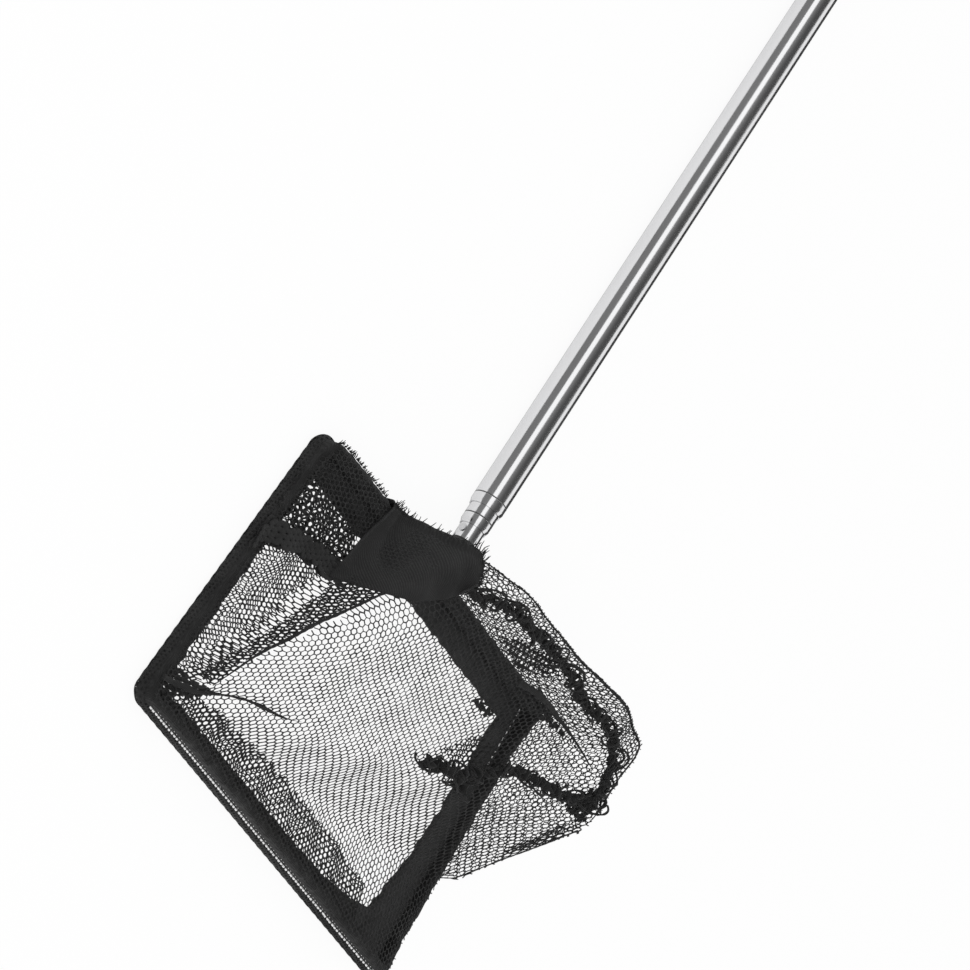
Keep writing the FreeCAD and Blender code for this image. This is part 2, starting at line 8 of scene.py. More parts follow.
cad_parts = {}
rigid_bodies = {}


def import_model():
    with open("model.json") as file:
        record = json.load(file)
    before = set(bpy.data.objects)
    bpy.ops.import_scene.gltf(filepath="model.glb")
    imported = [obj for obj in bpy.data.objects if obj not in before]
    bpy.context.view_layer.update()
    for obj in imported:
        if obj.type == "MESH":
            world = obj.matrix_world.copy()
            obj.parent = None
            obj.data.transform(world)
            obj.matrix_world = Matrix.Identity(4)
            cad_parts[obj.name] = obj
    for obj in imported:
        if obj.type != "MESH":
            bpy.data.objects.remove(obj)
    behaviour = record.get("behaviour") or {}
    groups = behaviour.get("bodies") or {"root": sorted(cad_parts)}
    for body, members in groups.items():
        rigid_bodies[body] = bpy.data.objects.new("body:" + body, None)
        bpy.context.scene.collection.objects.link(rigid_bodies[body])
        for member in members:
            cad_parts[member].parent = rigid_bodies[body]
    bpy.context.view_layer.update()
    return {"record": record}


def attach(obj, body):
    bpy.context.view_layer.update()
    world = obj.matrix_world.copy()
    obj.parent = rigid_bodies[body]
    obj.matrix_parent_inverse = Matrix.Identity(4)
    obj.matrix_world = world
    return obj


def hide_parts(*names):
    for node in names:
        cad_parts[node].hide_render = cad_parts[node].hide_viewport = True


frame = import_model()

# Sizes in millimetres, measured from the middle of the net frame, floor at z = 0.
# Where four are given, they are for the back, left, front and right side.
MM = 0.001
RIM_MIDDLE_Y = -319.25
BACK_Y = 95.0
FRONT_Y = -95.0
BACK_HALF_WIDTH = 140.0
FRONT_HALF_WIDTH = 150.0
MEAN_HALF_WIDTH = (BACK_HALF_WIDTH + FRONT_HALF_WIDTH) / 2
SIDE_BLEND_REACH = 9.0
RIM_CORNER_RADIUS = 6.0
RIM_HEIGHT = 4.5
WRAP_RADIUS = 4.4
WRAP_CORE_RADIUS = 3.9
WRAP_NECK_HALF = 11.0
HEM_TOPS = (22.0, 12.0, 19.0, 12.0)
HEM_LOW = 6.0
HEM_OUTSET = 1.5
HEM_INSET = -4.5
FACING_ROOT = 3.4
FACING_WIDTHS = (20.0, 12.0, 14.0, 22.0)
FACING_CORNER_EXTRA = 15.0
FACING_CORNER_REACH = 55.0
POLE_AXIS_HEIGHT = 13.5

# Bag: its ends, where the mesh is turned in, and how it bends down to the hem
BAG_BACK_Y = 93.35
BAG_FRONT_Y = -93.1
MESH_BACK_Y = 93.0
BAG_OVER_HEM = 1.5
BAG_EDGE_REACH = 8.0
BAG_EDGE_RISE = 12.0

# Knitted mesh: steps from hole to hole in the bag's upper side, and thread sizes
STEP_ACROSS = (3.4, -0.8)
STEP_ALONG = (2.7, 2.9)
LEFT_STEPS = ((3.2, 1.8), (-0.1, 3.3))
LEFT_UNDER_STEPS = ((3.1, 2.0), (-0.3, 3.0))
FRONT_STEPS = ((3.7, -0.3), (1.9, 2.5))
MESH_PITCH = 3.9
HOLE_SHARE = 0.85
THREAD_THICKNESS = 0.4

# Points of the bag's upper side: x, y, height
BAG_POINTS = {
    "back_left": (-138.4, BAG_BACK_Y, 21.0),
    "front_left": (-148.0, BAG_FRONT_Y, 18.0),
    "front_right": (148.0, BAG_FRONT_Y, 18.0),
    "back_right": (138.4, BAG_BACK_Y, 24.0),
    "fold_foot": (-64.0, BAG_BACK_Y, 24.0),
    "fold_left": (-52.0, BAG_BACK_Y, 77.0),
    "ridge_left": (-22.0, BAG_BACK_Y, 99.0),
    "ridge_right": (45.0, BAG_BACK_Y, 101.0),
    "peak": (82.0, BAG_BACK_Y, 114.0),
    "fold_corner": (138.4, BAG_BACK_Y, 97.0),
    "fold_side": (141.5, 33.4, 93.0),
    "fold_end": (144.7, -28.5, 19.0),
}
BAG_TRIANGLES = (
    ("back_left", "front_left", "fold_foot"),
    ("fold_foot", "front_left", "fold_left"),
    ("fold_left", "front_left", "ridge_left"),
    ("ridge_left", "front_left", "ridge_right"),
    ("ridge_right", "front_left", "fold_side"),
    ("ridge_right", "peak", "fold_side"),
    ("peak", "fold_side", "fold_corner"),
    ("fold_side", "front_left", "fold_end"),
    ("fold_end", "front_left", "front_right"),
)


# Small helpers

def metres(points):
    """Points in net-frame millimetres as part-frame metres."""
    moved = np.array(points, float).reshape(-1, 3)
    return (moved + (0, RIM_MIDDLE_Y, 0)) * MM


def new_object(name, points, faces, material, smooth=True):
    mesh = bpy.data.meshes.new(name)
    mesh.from_pydata(metres(points).tolist(), [], faces)
    mesh.update()
    if smooth:
        mesh.shade_smooth()
    mesh.materials.append(material)
    piece = bpy.data.objects.new(name, mesh)
    bpy.context.collection.objects.link(piece)
    return piece


def thicken(piece, thickness):
    solid = piece.modifiers.new("thickness", "SOLIDIFY")
    solid.thickness = thickness * MM
    solid.offset = 0.0
    return piece


def soften(piece):
    rounder = piece.modifiers.new("rounding", "SUBSURF")
    rounder.levels = 1
    rounder.render_levels = 1
    return piece


def grid_faces(rows, columns, closed_rows=False, closed_columns=False):
    """Faces of a grid of points stored row after row."""
    faces = []
    for row in range(rows if closed_rows else rows - 1):
        below = (row + 1) % rows
        for column in range(columns if closed_columns else columns - 1):
            right = (column + 1) % columns
            faces.append((
                row * columns + column,
                row * columns + right,
                below * columns + right,
                below * columns + column,
            ))
    return faces


def tube_faces(rings, sides):
    """Faces of a tube whose rings of points are stored one after another, shut at both ends."""
    faces = grid_faces(rings, sides, closed_columns=True)
    last = (rings - 1) * sides
    faces.append(tuple(range(sides))[::-1])
    faces.append(tuple(range(last, last + sides)))
    return faces


def interpolated(at, marks, rows):
    """Points between the rows of a table that belong to marks."""
    return np.column_stack([np.interp(at, marks, column) for column in np.transpose(rows)])


def spaced_path(points, spacing, closed=False):
    """A path's points set out again at an even spacing."""
    path = np.array(points, float)
    if closed:
        path = np.vstack([path, path[:1]])
    runs = np.linalg.norm(np.diff(path, axis=0), axis=1)
    along = np.concatenate([[0], np.cumsum(runs)])
    count = max(2, int(round(along[-1] / spacing)))
    places = np.linspace(0, along[-1], count + 1)
    if closed:
        places = places[:-1]
    return interpolated(places, along, path)


def smooth_path(points, spacing, passes=2):
    """A path whose corners are cut round."""
    path = np.array(points, float)
    for _ in range(passes):
        first = path[:-1] * 0.75 + path[1:] * 0.25
        second = path[:-1] * 0.25 + path[1:] * 0.75
        middle = np.empty((2 * len(first), path.shape[1]))
        middle[0::2] = first
        middle[1::2] = second
        path = np.vstack([path[:1], middle, path[-1:]])
    return spaced_path(path, spacing)


def sideways(path, closed=False):
    """Unit vectors in the floor plane, to the left of a path's run."""
    if closed:
        run = np.roll(path[:, :2], -1, axis=0) - np.roll(path[:, :2], 1, axis=0)
    else:
        run = np.gradient(path[:, :2], axis=0)
    run /= np.linalg.norm(run, axis=1)[:, None]
    return np.column_stack([-run[:, 1], run[:, 0]])


def ripple(along, seed, lengths=(9.0, 14.0, 23.0)):
    """A wandering wave of about one unit, the same in every run."""
    random = np.random.default_rng(seed)
    wave = np.zeros_like(along)
    for length in lengths:
        wave += np.sin(2 * np.pi * along / length + random.uniform(0, 2 * np.pi))
    return wave / len(lengths)


def inside_polygon(polygon):
    """A test of which places lie inside a polygon on the floor plan."""
    corners = np.array(polygon, float)

    def test(x, y):
        inside = np.zeros(np.shape(x), bool)
        for (x0, y0), (x1, y1) in zip(corners, np.roll(corners, -1, axis=0)):
            crosses = (y0 > y) != (y1 > y)
            rise = np.where(y1 == y0, 1e-9, y1 - y0)
            inside ^= crosses & (x < (x1 - x0) * (y - y0) / rise + x0)
        return inside

    return test


# Height of the bag's upper side

GRID_STEP = 2.0
FACET_BLUR = 2.0
GRID_X = np.arange(-170.0, 171.0, GRID_STEP)
GRID_Y = np.arange(-120.0, 121.0, GRID_STEP)


def nearest_on_triangles(x, y):
    """Height of the nearest point of the upper side's triangles."""
    best = np.full(x.shape, np.inf)
    height = np.zeros(x.shape)
    for names in BAG_TRIANGLES:
        a, b, c = (np.array(BAG_POINTS[name]) for name in names)
        matrix = np.array([[a[0], b[0], c[0]], [a[1], b[1], c[1]], [1, 1, 1]])
        places = np.stack([x.ravel(), y.ravel(), np.ones(x.size)])
        weights = np.clip(np.linalg.solve(matrix, places), 0, None)
        weights /= weights.sum(axis=0)
        touched = np.stack([a, b, c], axis=1) @ weights
        distance = np.hypot(touched[0] - x.ravel(), touched[1] - y.ravel()).reshape(x.shape)
        closer = distance < best - 1e-6
        best = np.where(closer, distance, best)
        height = np.where(closer, touched[2].reshape(x.shape), height)
    return height


def blurred(values, sigma):
    reach = int(3 * sigma)
    weights = np.exp(-0.5 * (np.arange(-reach, reach + 1) / sigma) ** 2)
    weights /= weights.sum()
    for axis in (0, 1):
        padding = [(0, 0), (0, 0)]
        padding[axis] = (reach, reach)
        padded = np.pad(values, padding, mode="edge")
        values = np.apply_along_axis(lambda line: np.convolve(line, weights, "valid"), axis, padded)
    return values


def crease(x, y, path, width, depth):
    """A valley or a ridge along a path, which fades out at the path's ends."""
    points = spaced_path(path, GRID_STEP)
    fade = np.sin(np.linspace(0.25 * np.pi, np.pi, len(points)))
    drop = np.zeros_like(x)
    for (px, py), strength in zip(points, fade):
        near = strength * np.exp(-((x - px) ** 2 + (y - py) ** 2) / width ** 2)
        drop = np.maximum(drop, near)
    return depth * drop


def by_side(values, x, y):
    """A value that changes smoothly from one side of the rim to the next."""
    gaps = np.stack([BACK_Y - y, x + MEAN_HALF_WIDTH, y - FRONT_Y, MEAN_HALF_WIDTH - x])
    weights = np.exp(-np.clip(gaps, 0, None) / SIDE_BLEND_REACH)
    sides = np.array(values).reshape(-1, *[1] * x.ndim)
    return (sides * weights).sum(axis=0) / weights.sum(axis=0)


def hem_top(x, y):
    """Height of the hem's upper edge beside a place on the floor."""
    return by_side(HEM_TOPS, x, y)


WRINKLE = [(-152, -82), (-141, -79), (-131, -76), (-123, -71), (-117, -67), (-105, -60), (-96, -57),
           (-86, -54), (-74, -51), (-63, -45)]
MAIN_FOLD = [(-130, -69), (-122, -43), (-105, -9), (-91, 19), (-83, 34), (-53, 93)]
MAIN_FOLD_FOOT = [(-137, -69), (-126, -43), (-109, -7), (-99, 16), (-91, 34), (-65, 93)]
LONG_FOLD = [(27, 59), (42, 63), (60, 64), (82, 62), (96, 60), (111, 56)]

# Creases: their path on the floor plan, width and rise
CREASES = (
    (WRINKLE, 5.0, -5.0),
    ([(x + 5, y + 6) for x, y in WRINKLE], 5.0, 3.0),
    (MAIN_FOLD, 6.0, 4.0),
    (LONG_FOLD, 6.0, -4.0),
)
# Hollows: depth, middle and reach across the bag, middle and reach along it
HOLLOWS = (
    (5.0, -20, 62, -18, 38),
    (3.0, 70, 40, 30, 26),
)


def shaped_height():
    """Heights on the grid: rounded facets with hollows, creases and waves, led down to the hem."""
    x, y = np.meshgrid(GRID_X, GRID_Y, indexing="ij")
    height = blurred(nearest_on_triangles(x, y), FACET_BLUR)
    for depth, middle_x, reach_x, middle_y, reach_y in HOLLOWS:
        height -= depth * np.exp(-((x - middle_x) / reach_x) ** 2 - ((y - middle_y) / reach_y) ** 2)
    for path, width, rise in CREASES:
        height += crease(x, y, path, width, rise)
    height += 0.8 * np.sin(x / 13 + y / 9) * np.sin(x / 21 - y / 16)
    height += 0.5 * np.sin(x / 6.0 - y / 11)
    hem = hem_top(x, y) + BAG_OVER_HEM
    gap = np.minimum(np.minimum(x + MEAN_HALF_WIDTH, y - FRONT_Y), MEAN_HALF_WIDTH - x)
    near = np.exp(-(np.clip(gap, 0, None) / BAG_EDGE_REACH) ** 2) * (height < hem + BAG_EDGE_RISE)
    return height * (1 - near) + hem * near


HEIGHT_GRID = shaped_height()


def top_height(x, y):
    """Height of the bag's upper side over a place on the floor."""
    across = np.clip((x - GRID_X[0]) / GRID_STEP, 0, len(GRID_X) - 1.001)
    along = np.clip((y - GRID_Y[0]) / GRID_STEP, 0, len(GRID_Y) - 1.001)
    i, j = across.astype(int), along.astype(int)
    s, t = across - i, along - j
    near = HEIGHT_GRID[i, j] * (1 - s) + HEIGHT_GRID[i + 1, j] * s
    far = HEIGHT_GRID[i, j + 1] * (1 - s) + HEIGHT_GRID[i + 1, j + 1] * s
    return near * (1 - t) + far * t


def on_top(points, above=0.0):
    """Floor plan points set on the bag's upper side."""
    plan = np.array(points, float)
    return np.column_stack([plan, top_height(*plan.T) + above])


# Materials

def new_material(name):
    material = bpy.data.materials.new(name)
    material.use_nodes = True
    tree = material.node_tree
    return material, tree, tree.nodes["Principled BSDF"]


def set_inputs(tree, node, inputs):
    """Gives a node's inputs values, or links them where an output is given."""
    for socket, value in inputs.items():
        if isinstance(value, bpy.types.NodeSocket):
            tree.links.new(value, node.inputs[socket])
        else:
            node.inputs[socket].default_value = value


def add_node(tree, kind, inputs=None):
    node = tree.nodes.new("ShaderNode" + kind)
    set_inputs(tree, node, inputs or {})
    return node


def maths(tree, operation, *values, clamp=False):
    node = add_node(tree, "Math", dict(enumerate(values)))
    node.operation = operation
    node.use_clamp = clamp
    return node.outputs[0]


def scaled_noise(tree, scale, stretch=(1, 1, 1), detail=3.0):
    """Noise in the object's own coordinates, with its grain drawn out along the axes."""
    place = add_node(tree, "TexCoord").outputs["Object"]
    grain = add_node(tree, "Mapping", {"Vector": place, "Scale": stretch}).outputs["Vector"]
    return add_node(tree, "TexNoise", {"Vector": grain, "Scale": scale, "Detail": detail}).outputs["Fac"]


def ramp(tree, source, stops):
    """A colour ramp on a value, between two (place, colour) stops."""
    band = add_node(tree, "ValToRGB", {"Fac": source})
    for element, (place, colour) in zip(band.color_ramp.elements, stops):
        element.position = place
        element.color = (*colour, 1)
    return band.outputs["Color"]


def bump(tree, source, distance, strength=0.5):
    bumps = {"Height": source, "Distance": distance, "Strength": strength}
    return add_node(tree, "Bump", bumps).outputs["Normal"]


def grey(level):
    return (level, level, level)


def steel(name, colour, roughness, grain):
    """Drawn and polished steel with fine lines along the pole."""
    material, tree, shader = new_material(name)
    lines = scaled_noise(tree, 900, (1, 0.006, 1), 2.0)
    smudge = scaled_noise(tree, 35, (1, 0.35, 1), 4.0)
    dull = tuple(c * 0.94 for c in colour)
    set_inputs(tree, shader, {
        "Metallic": 1.0,
        "Base Color": ramp(tree, smudge, ((0.3, dull), (0.7, colour))),
        "Roughness": ramp(tree, smudge, ((0.25, grey(roughness)), (0.8, grey(roughness * 1.7)))),
        "Normal": bump(tree, lines, grain, 0.35),
    })
    return material


def plastic(name, low, high, roughness, grain_scale, grain):
    """Moulded plastic or rubber with a fine grain."""
    material, tree, shader = new_material(name)
    set_inputs(tree, shader, {
        "Base Color": ramp(tree, scaled_noise(tree, 60), ((0.3, low), (0.7, high))),
        "Roughness": roughness,
        "Normal": bump(tree, scaled_noise(tree, grain_scale), grain),
    })
    return material


def woven(name, low, high, roughness, thread_scale, depth, sheen):
    """Black cloth whose threads cross, with paler worn patches."""
    material, tree, shader = new_material(name)
    place = add_node(tree, "TexCoord").outputs["Object"]
    threads = {"Vector": place, "Scale": thread_scale, "Distortion": 1.5, "Detail": 2.0}
    waves = []
    for direction in ("X", "Y"):
        wave = add_node(tree, "TexWave", threads)
        wave.bands_direction = direction
        waves.append(wave.outputs["Fac"])
    cross = maths(tree, "MULTIPLY", *waves)
    worn = maths(tree, "MULTIPLY_ADD", cross, 0.35, scaled_noise(tree, 55, detail=5.0))
    set_inputs(tree, shader, {
        "Base Color": ramp(tree, worn, ((0.35, low), (0.85, high))),
        "Roughness": roughness,
        "Sheen Weight": sheen,
        "Sheen Roughness": 0.5,
        "Normal": bump(tree, cross, depth, 0.8),
    })
    return material


NET_THREAD = woven("net_thread", grey(0.009), grey(0.022), 0.75, 900, 0.0002, 0.05)
HEM_CLOTH = woven("hem_cloth", grey(0.006), grey(0.016), 0.9, 420, 0.0004, 0.08)
# Painted light: the facing is the hem's cloth made about twice as light, to offset the shade of the net
# lying over it.
LIGHTENED_FACING_CLOTH = woven("facing_cloth_painted_lighter", grey(0.018), grey(0.034), 0.9, 420, 0.0004, 0.1)
WRAP_CORE = woven("wrap_core", grey(0.012), grey(0.045), 0.9, 500, 0.0004, 0.1)
# Painted shade: a dark material for thin rings that stand in for the shade in the pole's crimp grooves.
CRIMP_PAINTED_SHADE = plastic("crimp_painted_shade", grey(0.05), grey(0.09), 0.4, 900, 0.00005)
STITCH_THREAD = plastic("stitch_thread", grey(0.78), grey(0.9), 0.8, 1500, 0.0002)

# How each slot of the rigid nodes is made
SLOT_LOOKS = {
    "polished_steel": (steel, (0.80, 0.80, 0.81), 0.11, 0.00003),
    "frame_steel": (steel, (0.55, 0.55, 0.56), 0.3, 0.00008),
    "rivet_aluminium": (steel, (0.75, 0.75, 0.76), 0.35, 0.00008),
    "leaf_brass": (steel, (0.72, 0.55, 0.25), 0.3, 0.00005),
    "grip_rubber": (plastic, grey(0.018), grey(0.03), 0.72, 1800, 0.0002),
    "cap_plastic": (plastic, grey(0.02), grey(0.03), 0.5, 900, 0.0001),
    "guide_nylon": (plastic, (0.78, 0.78, 0.75), (0.86, 0.86, 0.83), 0.45, 700, 0.0001),
}
SLOT_MATERIALS = {slot: make(slot, *values) for slot, (make, *values) in SLOT_LOOKS.items()}


def dress_cad_nodes():
    """Gives every rigid node the material of its slot in the record."""
    for subpart in frame["record"]["subparts"]:
        material = SLOT_MATERIALS.get(subpart["material_slot"])
        if material is None:
            continue
        for material_slot in bpy.data.objects[subpart["node"]].material_slots:
            material_slot.material = material


dress_cad_nodes()


# Knitted mesh

CELL_CORNERS = np.array([(1, 1), (-1, 2), (-2, 1), (-1, -1), (1, -2), (2, -1)]) / 3


def hex_net(test, lift, steps, hole=HOLE_SHARE, extent=(-180, 180, -120, 140), wobble=0.04, seed=1):
    """Points and faces of mesh with six-sided holes, laid flat and bent into place by lift."""
    steps = np.array(steps, float)
    x_low, x_high, y_low, y_high = extent
    ends = np.array([(x, y) for x in (x_low, x_high) for y in (y_low, y_high)], float)
    counts = ends @ np.linalg.inv(steps)
    low = np.floor(counts.min(axis=0)).astype(int) - 1
    high = np.ceil(counts.max(axis=0)).astype(int) + 1
    q, r = np.meshgrid(np.arange(low[0], high[0]), np.arange(low[1], high[1]), indexing="ij")
    centres = np.stack([q, r], axis=-1) @ steps
    kept = test(centres[..., 0], centres[..., 1])
    kept[0, :] = kept[-1, :] = kept[:, 0] = kept[:, -1] = False
    number = np.full(kept.shape, -1)
    number[kept] = np.arange(kept.sum())
    random = np.random.default_rng(seed)
    size = hole * (1 + random.normal(0, wobble, (kept.sum(), 1, 1)))
    corners = CELL_CORNERS + random.normal(0, wobble / 3, (kept.sum(), 6, 2))
    flat = (centres[kept][:, None, :] + size * (corners @ steps)).reshape(-1, 2)

    mine = number[1:-1, 1:-1]
    east = number[2:, 1:-1]
    north_east = number[1:-1, 2:]
    north_west = number[:-2, 2:]
    faces = []
    for other, quad in (
        (east, ((mine, 5), (east, 3), (east, 2), (mine, 0))),
        (north_east, ((mine, 0), (north_east, 4), (north_east, 3), (mine, 1))),
        (north_west, ((mine, 1), (north_west, 5), (north_west, 4), (mine, 2))),
    ):
        whole = (mine >= 0) & (other >= 0)
        faces.append(np.stack([cell[whole] * 6 + corner for cell, corner in quad], axis=1))
    for first, second, places in (
        (east, north_east, (0, 2, 4)),
        (north_east, north_west, (1, 3, 5)),
    ):
        whole = (mine >= 0) & (first >= 0) & (second >= 0)
        cells = (mine[whole], first[whole], second[whole])
        faces.append(np.stack([cell * 6 + place for cell, place in zip(cells, places)], axis=1))
    return lift(flat[:, 0], flat[:, 1]), [tuple(face) for group in faces for face in group.tolist()]


def joined(parts):
    """Several sets of points and faces as one."""
    points, faces, start = [], [], 0
    for some_points, some_faces in parts:
        points.append(some_points)
        faces.extend(tuple(index + start for index in face) for face in some_faces)
        start += len(some_points)
    return np.vstack(points), faces


GATHER_PULL = 0.5
GATHER_REACH = 62.0
GATHER_Y = -2.0
FOLD_WAVE_LENGTH = 31.0


def gathered_x(u, y):
    """Where a line of the mesh lies once the middle of the bag has drawn it together."""
    pull = GATHER_PULL * np.exp(-((y - GATHER_Y) / GATHER_REACH) ** 2)
    x = np.array(u, float)
    for _ in range(12):
        bend = np.tanh(x / GATHER_REACH)
        error = x + pull * GATHER_REACH * bend - u
        x -= error / (1 + pull * (1 - bend ** 2))
    return x


def lift_top(above):
    """Lays the drawn mesh over the bag's upper side, its cut ends turned in at the edges."""
    right_edge = np.array(MAIN_RIGHT_EDGE)[::-1]

    def lift(u, v):
        y = np.minimum(v, MESH_BACK_Y)
        x = np.minimum(gathered_x(u, v), np.interp(y, right_edge[:, 1], right_edge[:, 0]))
        return np.column_stack([x, y, top_height(x, y) + above])
    return lift


def lift_plan(above=0.0, wave=0.0):
    """Lays mesh over the bag's upper side as it is, with folds of its own."""
    def lift(x, y):
        folds = wave * np.sin((x + 0.6 * y) / FOLD_WAVE_LENGTH * 2 * np.pi)
        return np.column_stack([x, y, top_height(x, y) + above + folds])
    return lift


def turned_steps(angle, size=1.0):
    """The steps of relaxed mesh, turned in its plane."""
    turns = np.radians((angle, angle + 60))
    return MESH_PITCH * size * np.column_stack([np.cos(turns), np.sin(turns)])


# Regions of the bag on the floor plan
LEFT_OUTLINE = [(-142, 95), (-152, -97), (-135, -84), (-130, -69), (-125, -43), (-107, -7), (-97, 16),
                (-89, 34), (-63, 95)]
MAIN_RIGHT_EDGE = [(137, 92), (140, 82), (142, 33), (145, -30), (149, -97)]
MAIN_OUTLINE = [(-124, -97), (-149, -97), (-140, -80), (-131, -69), (-122, -43), (-105, -9), (-91, 19),
                (-83, 34), (-53, 93), (-53, 95), (128, 95), *MAIN_RIGHT_EDGE]
LEFT_UNDER = [(-143, 42), (-151, -86), (-136, -80), (-129, -61), (-121, -39), (-110, -7), (-102, 14),
              (-90, 44)]
NEAR_LEFT_CORNER = [(-149, -90), (-146, -68), (-130, -69), (-113, -65), (-127, -81), (-146, -92)]
FRONT_UNDER = [(-149, -97), (-140, -79), (-132, -75), (-92, -71), (-38, -65), (-2, -63), (40, -63),
               (80, -66), (92, -66), (104, -97)]
CORNER_UNDER = [(-148, 42), (-146, 76), (-118, 78), (-96, 79), (-82, 78), (-82, 50), (-91, 38), (-123, 36),
                (-137, 40)]
DARK_FOLD = [(-150, 36), (-132, 41), (-108, 46), (-86, 48), (-90, 28), (-102, 31), (-123, 27), (-141, 18),
             (-152, 8)]
DENSE_FOLD = [(-13, 66), (15, 62), (35, 70), (48, 80), (35, 83), (22, 82), (10, 80)]
LONG_FOLD_OUTLINE = [(24, 60), (42, 65), (60, 65), (82, 62), (97, 60), (80, 57), (60, 54), (42, 51)]
BLOB_DENSE = [(24, 2), (30, 16), (38, 26), (52, 26), (58, 10), (48, -2)]
CORNER_DENSE = [(117, 32), (120, 42), (124, 52), (135, 53), (140, 41), (139, 32)]
EDGE_DENSE = [(143, -5), (131, 2), (131, 14), (130, 26), (140, 33), (146, 32), (145, 15)]


def net_piece(name, parts):
    return thicken(new_object(name, *joined(parts), NET_THREAD), THREAD_THICKNESS)


def left_net():
    left = hex_net(inside_polygon(LEFT_OUTLINE), lift_plan(), LEFT_STEPS, seed=2)
    return net_piece("bag_left_net", [left])


def main_net():
    main = hex_net(
        lambda u, v: inside_polygon(MAIN_OUTLINE)(gathered_x(u, v), v),
        lift_top(1.2), (STEP_ACROSS, STEP_ALONG), extent=(-230, 230, -120, 120), seed=3,
    )
    return net_piece("bag_main_net", [main])


def fold_face_net(steps, hole, out, seed):
    """Mesh on the steep face of the main fold, between the fold's foot and its top."""
    share = np.linspace(0, 1, 400)
    lines = [spaced_path(on_top(plan), 1.0) for plan in (MAIN_FOLD_FOOT, MAIN_FOLD)]
    low, high = (interpolated(share, np.linspace(0, 1, len(line)), line) for line in lines)
    length = np.linalg.norm(np.diff(high, axis=0), axis=1).sum()
    breadth = np.linalg.norm(high - low, axis=1)

    def test(run, rise):
        limit = np.interp(run / length, share, breadth)
        return (run > 0) & (run < length) & (rise > -2) & (rise < limit + 2)

    def lift(run, rise):
        at = run / length
        up = np.clip(rise / np.interp(at, share, breadth), 0, 1)[:, None]
        spots = interpolated(at, share, low) * (1 - up) + interpolated(at, share, high) * up
        return spots + (-out, 0, 0.3 * out)

    return hex_net(test, lift, steps, hole, (0, length, -5, 70), seed=seed)


def folded_net():
    """Mesh doubled under the upper side, where the bag is folded on itself."""
    # Outline, height against the upper side, wave, steps, hole share and seed
    layers = (
        (LEFT_UNDER, -3.0, 1.2, LEFT_UNDER_STEPS, 0.82, 4),
        (NEAR_LEFT_CORNER, -2.0, 0.8, turned_steps(14), 0.35, 22),
        (FRONT_UNDER, -3.0, 1.4, FRONT_STEPS, 0.72, 5),
        (CORNER_UNDER, -4.0, 1.5, turned_steps(20), 0.7, 8),
        (CORNER_UNDER, -7.0, 2.0, turned_steps(51), 0.7, 9),
        (DARK_FOLD, -1.0, 0.5, turned_steps(5, 0.9), 0.12, 16),
        (DARK_FOLD, 1.5, 0.8, turned_steps(33), 0.25, 17),
        (DENSE_FOLD, -2.0, 0.5, turned_steps(15), 0.65, 10),
        (LONG_FOLD_OUTLINE, -2.0, 0.3, turned_steps(28), 0.4, 12),
        (LONG_FOLD_OUTLINE, -3.5, 0.3, turned_steps(51), 0.45, 23),
        (BLOB_DENSE, -2.0, 0.6, turned_steps(35), 0.78, 24),
        (CORNER_DENSE, -2.0, 0.5, turned_steps(10), 0.45, 19),
        (CORNER_DENSE, -4.0, 0.5, turned_steps(40), 0.5, 20),
        (EDGE_DENSE, -2.0, 0.8, turned_steps(24), 0.75, 21),
    )
    parts = [
        hex_net(inside_polygon(outline), lift_plan(drop, wave), steps, hole, seed=seed)
        for outline, drop, wave, steps, hole, seed in layers
    ]
    parts += [fold_face_net(steps, hole, out, seed) for steps, hole, out, seed in (
        (turned_steps(12), 0.78, 0.6, 6),
        (turned_steps(47), 0.72, -1.5, 7),
    )]
    return net_piece("bag_folded_net", parts)


# Floor plan of the bag's upright walls, from the back left round to the right side
WALL_CORNERS = [(-137.5, 92.3), (128, 92.3), (134, 91), (137.5, 87), (138.6, 80), (140.6, 32),
                (143.8, -30), (146.6, -90)]
WALL_PATH = smooth_path(WALL_CORNERS, 1.0)
WALL_RUN = np.concatenate([[0], np.cumsum(np.linalg.norm(np.diff(WALL_PATH, axis=0), axis=1))])
WALL_SIDE = sideways(WALL_PATH)
WALL_OVER_HEM = 3.0
WALL_BULGE = -5.0
WALL_BULGE_HEIGHT = 40.0


def on_wall(run):
    """Places on the wall's floor plan, and the directions out of it."""
    return interpolated(run, WALL_RUN, WALL_PATH), interpolated(run, WALL_RUN, WALL_SIDE)


def lift_wall(run, height):
    """Lays mesh on the upright walls, bulged in the middle and wavy towards the edges."""
    place, out = on_wall(run)
    top = top_height(*place.T)
    foot = hem_top(*place.T) - WALL_OVER_HEM
    share = np.clip((height - foot) / np.maximum(top - foot, 1), 0, 1)
    bulge = WALL_BULGE * np.sin(np.pi * share) * np.clip((top - foot) / WALL_BULGE_HEIGHT, 0, 1)
    bulge += 1.2 * share * ripple(run, 21, (17, 29, 41))
    bulge += 1.5 * (1 - share) * ripple(run, 22, (8, 11, 15))
    spot = place + out * bulge[:, None]
    return np.column_stack([spot, np.minimum(height, top)])


def wall_net():
    """Upright mesh behind the upper side's back and right edges."""
    def test(run, height):
        shape = run.shape
        place, _ = on_wall(np.clip(run.ravel(), 0, WALL_RUN[-1]))
        top = top_height(*place.T).reshape(shape)
        foot = hem_top(*place.T).reshape(shape) - WALL_OVER_HEM
        return (run > 0) & (run < WALL_RUN[-1]) & (height > foot) & (height < top + 1.0)

    walls = hex_net(test, lift_wall, turned_steps(18), 0.9, (0, WALL_RUN[-1], 12, 118), seed=14)
    return net_piece("bag_wall_net", [walls])


# Rolled folds, ruffled seams and their curls

ROLL_STEP = 1.5
RUFFLE_STEP = 0.8
CURL_STEP = 0.6
RIDGE_START = 84.0
RIDGE_END_GAP = 125.0


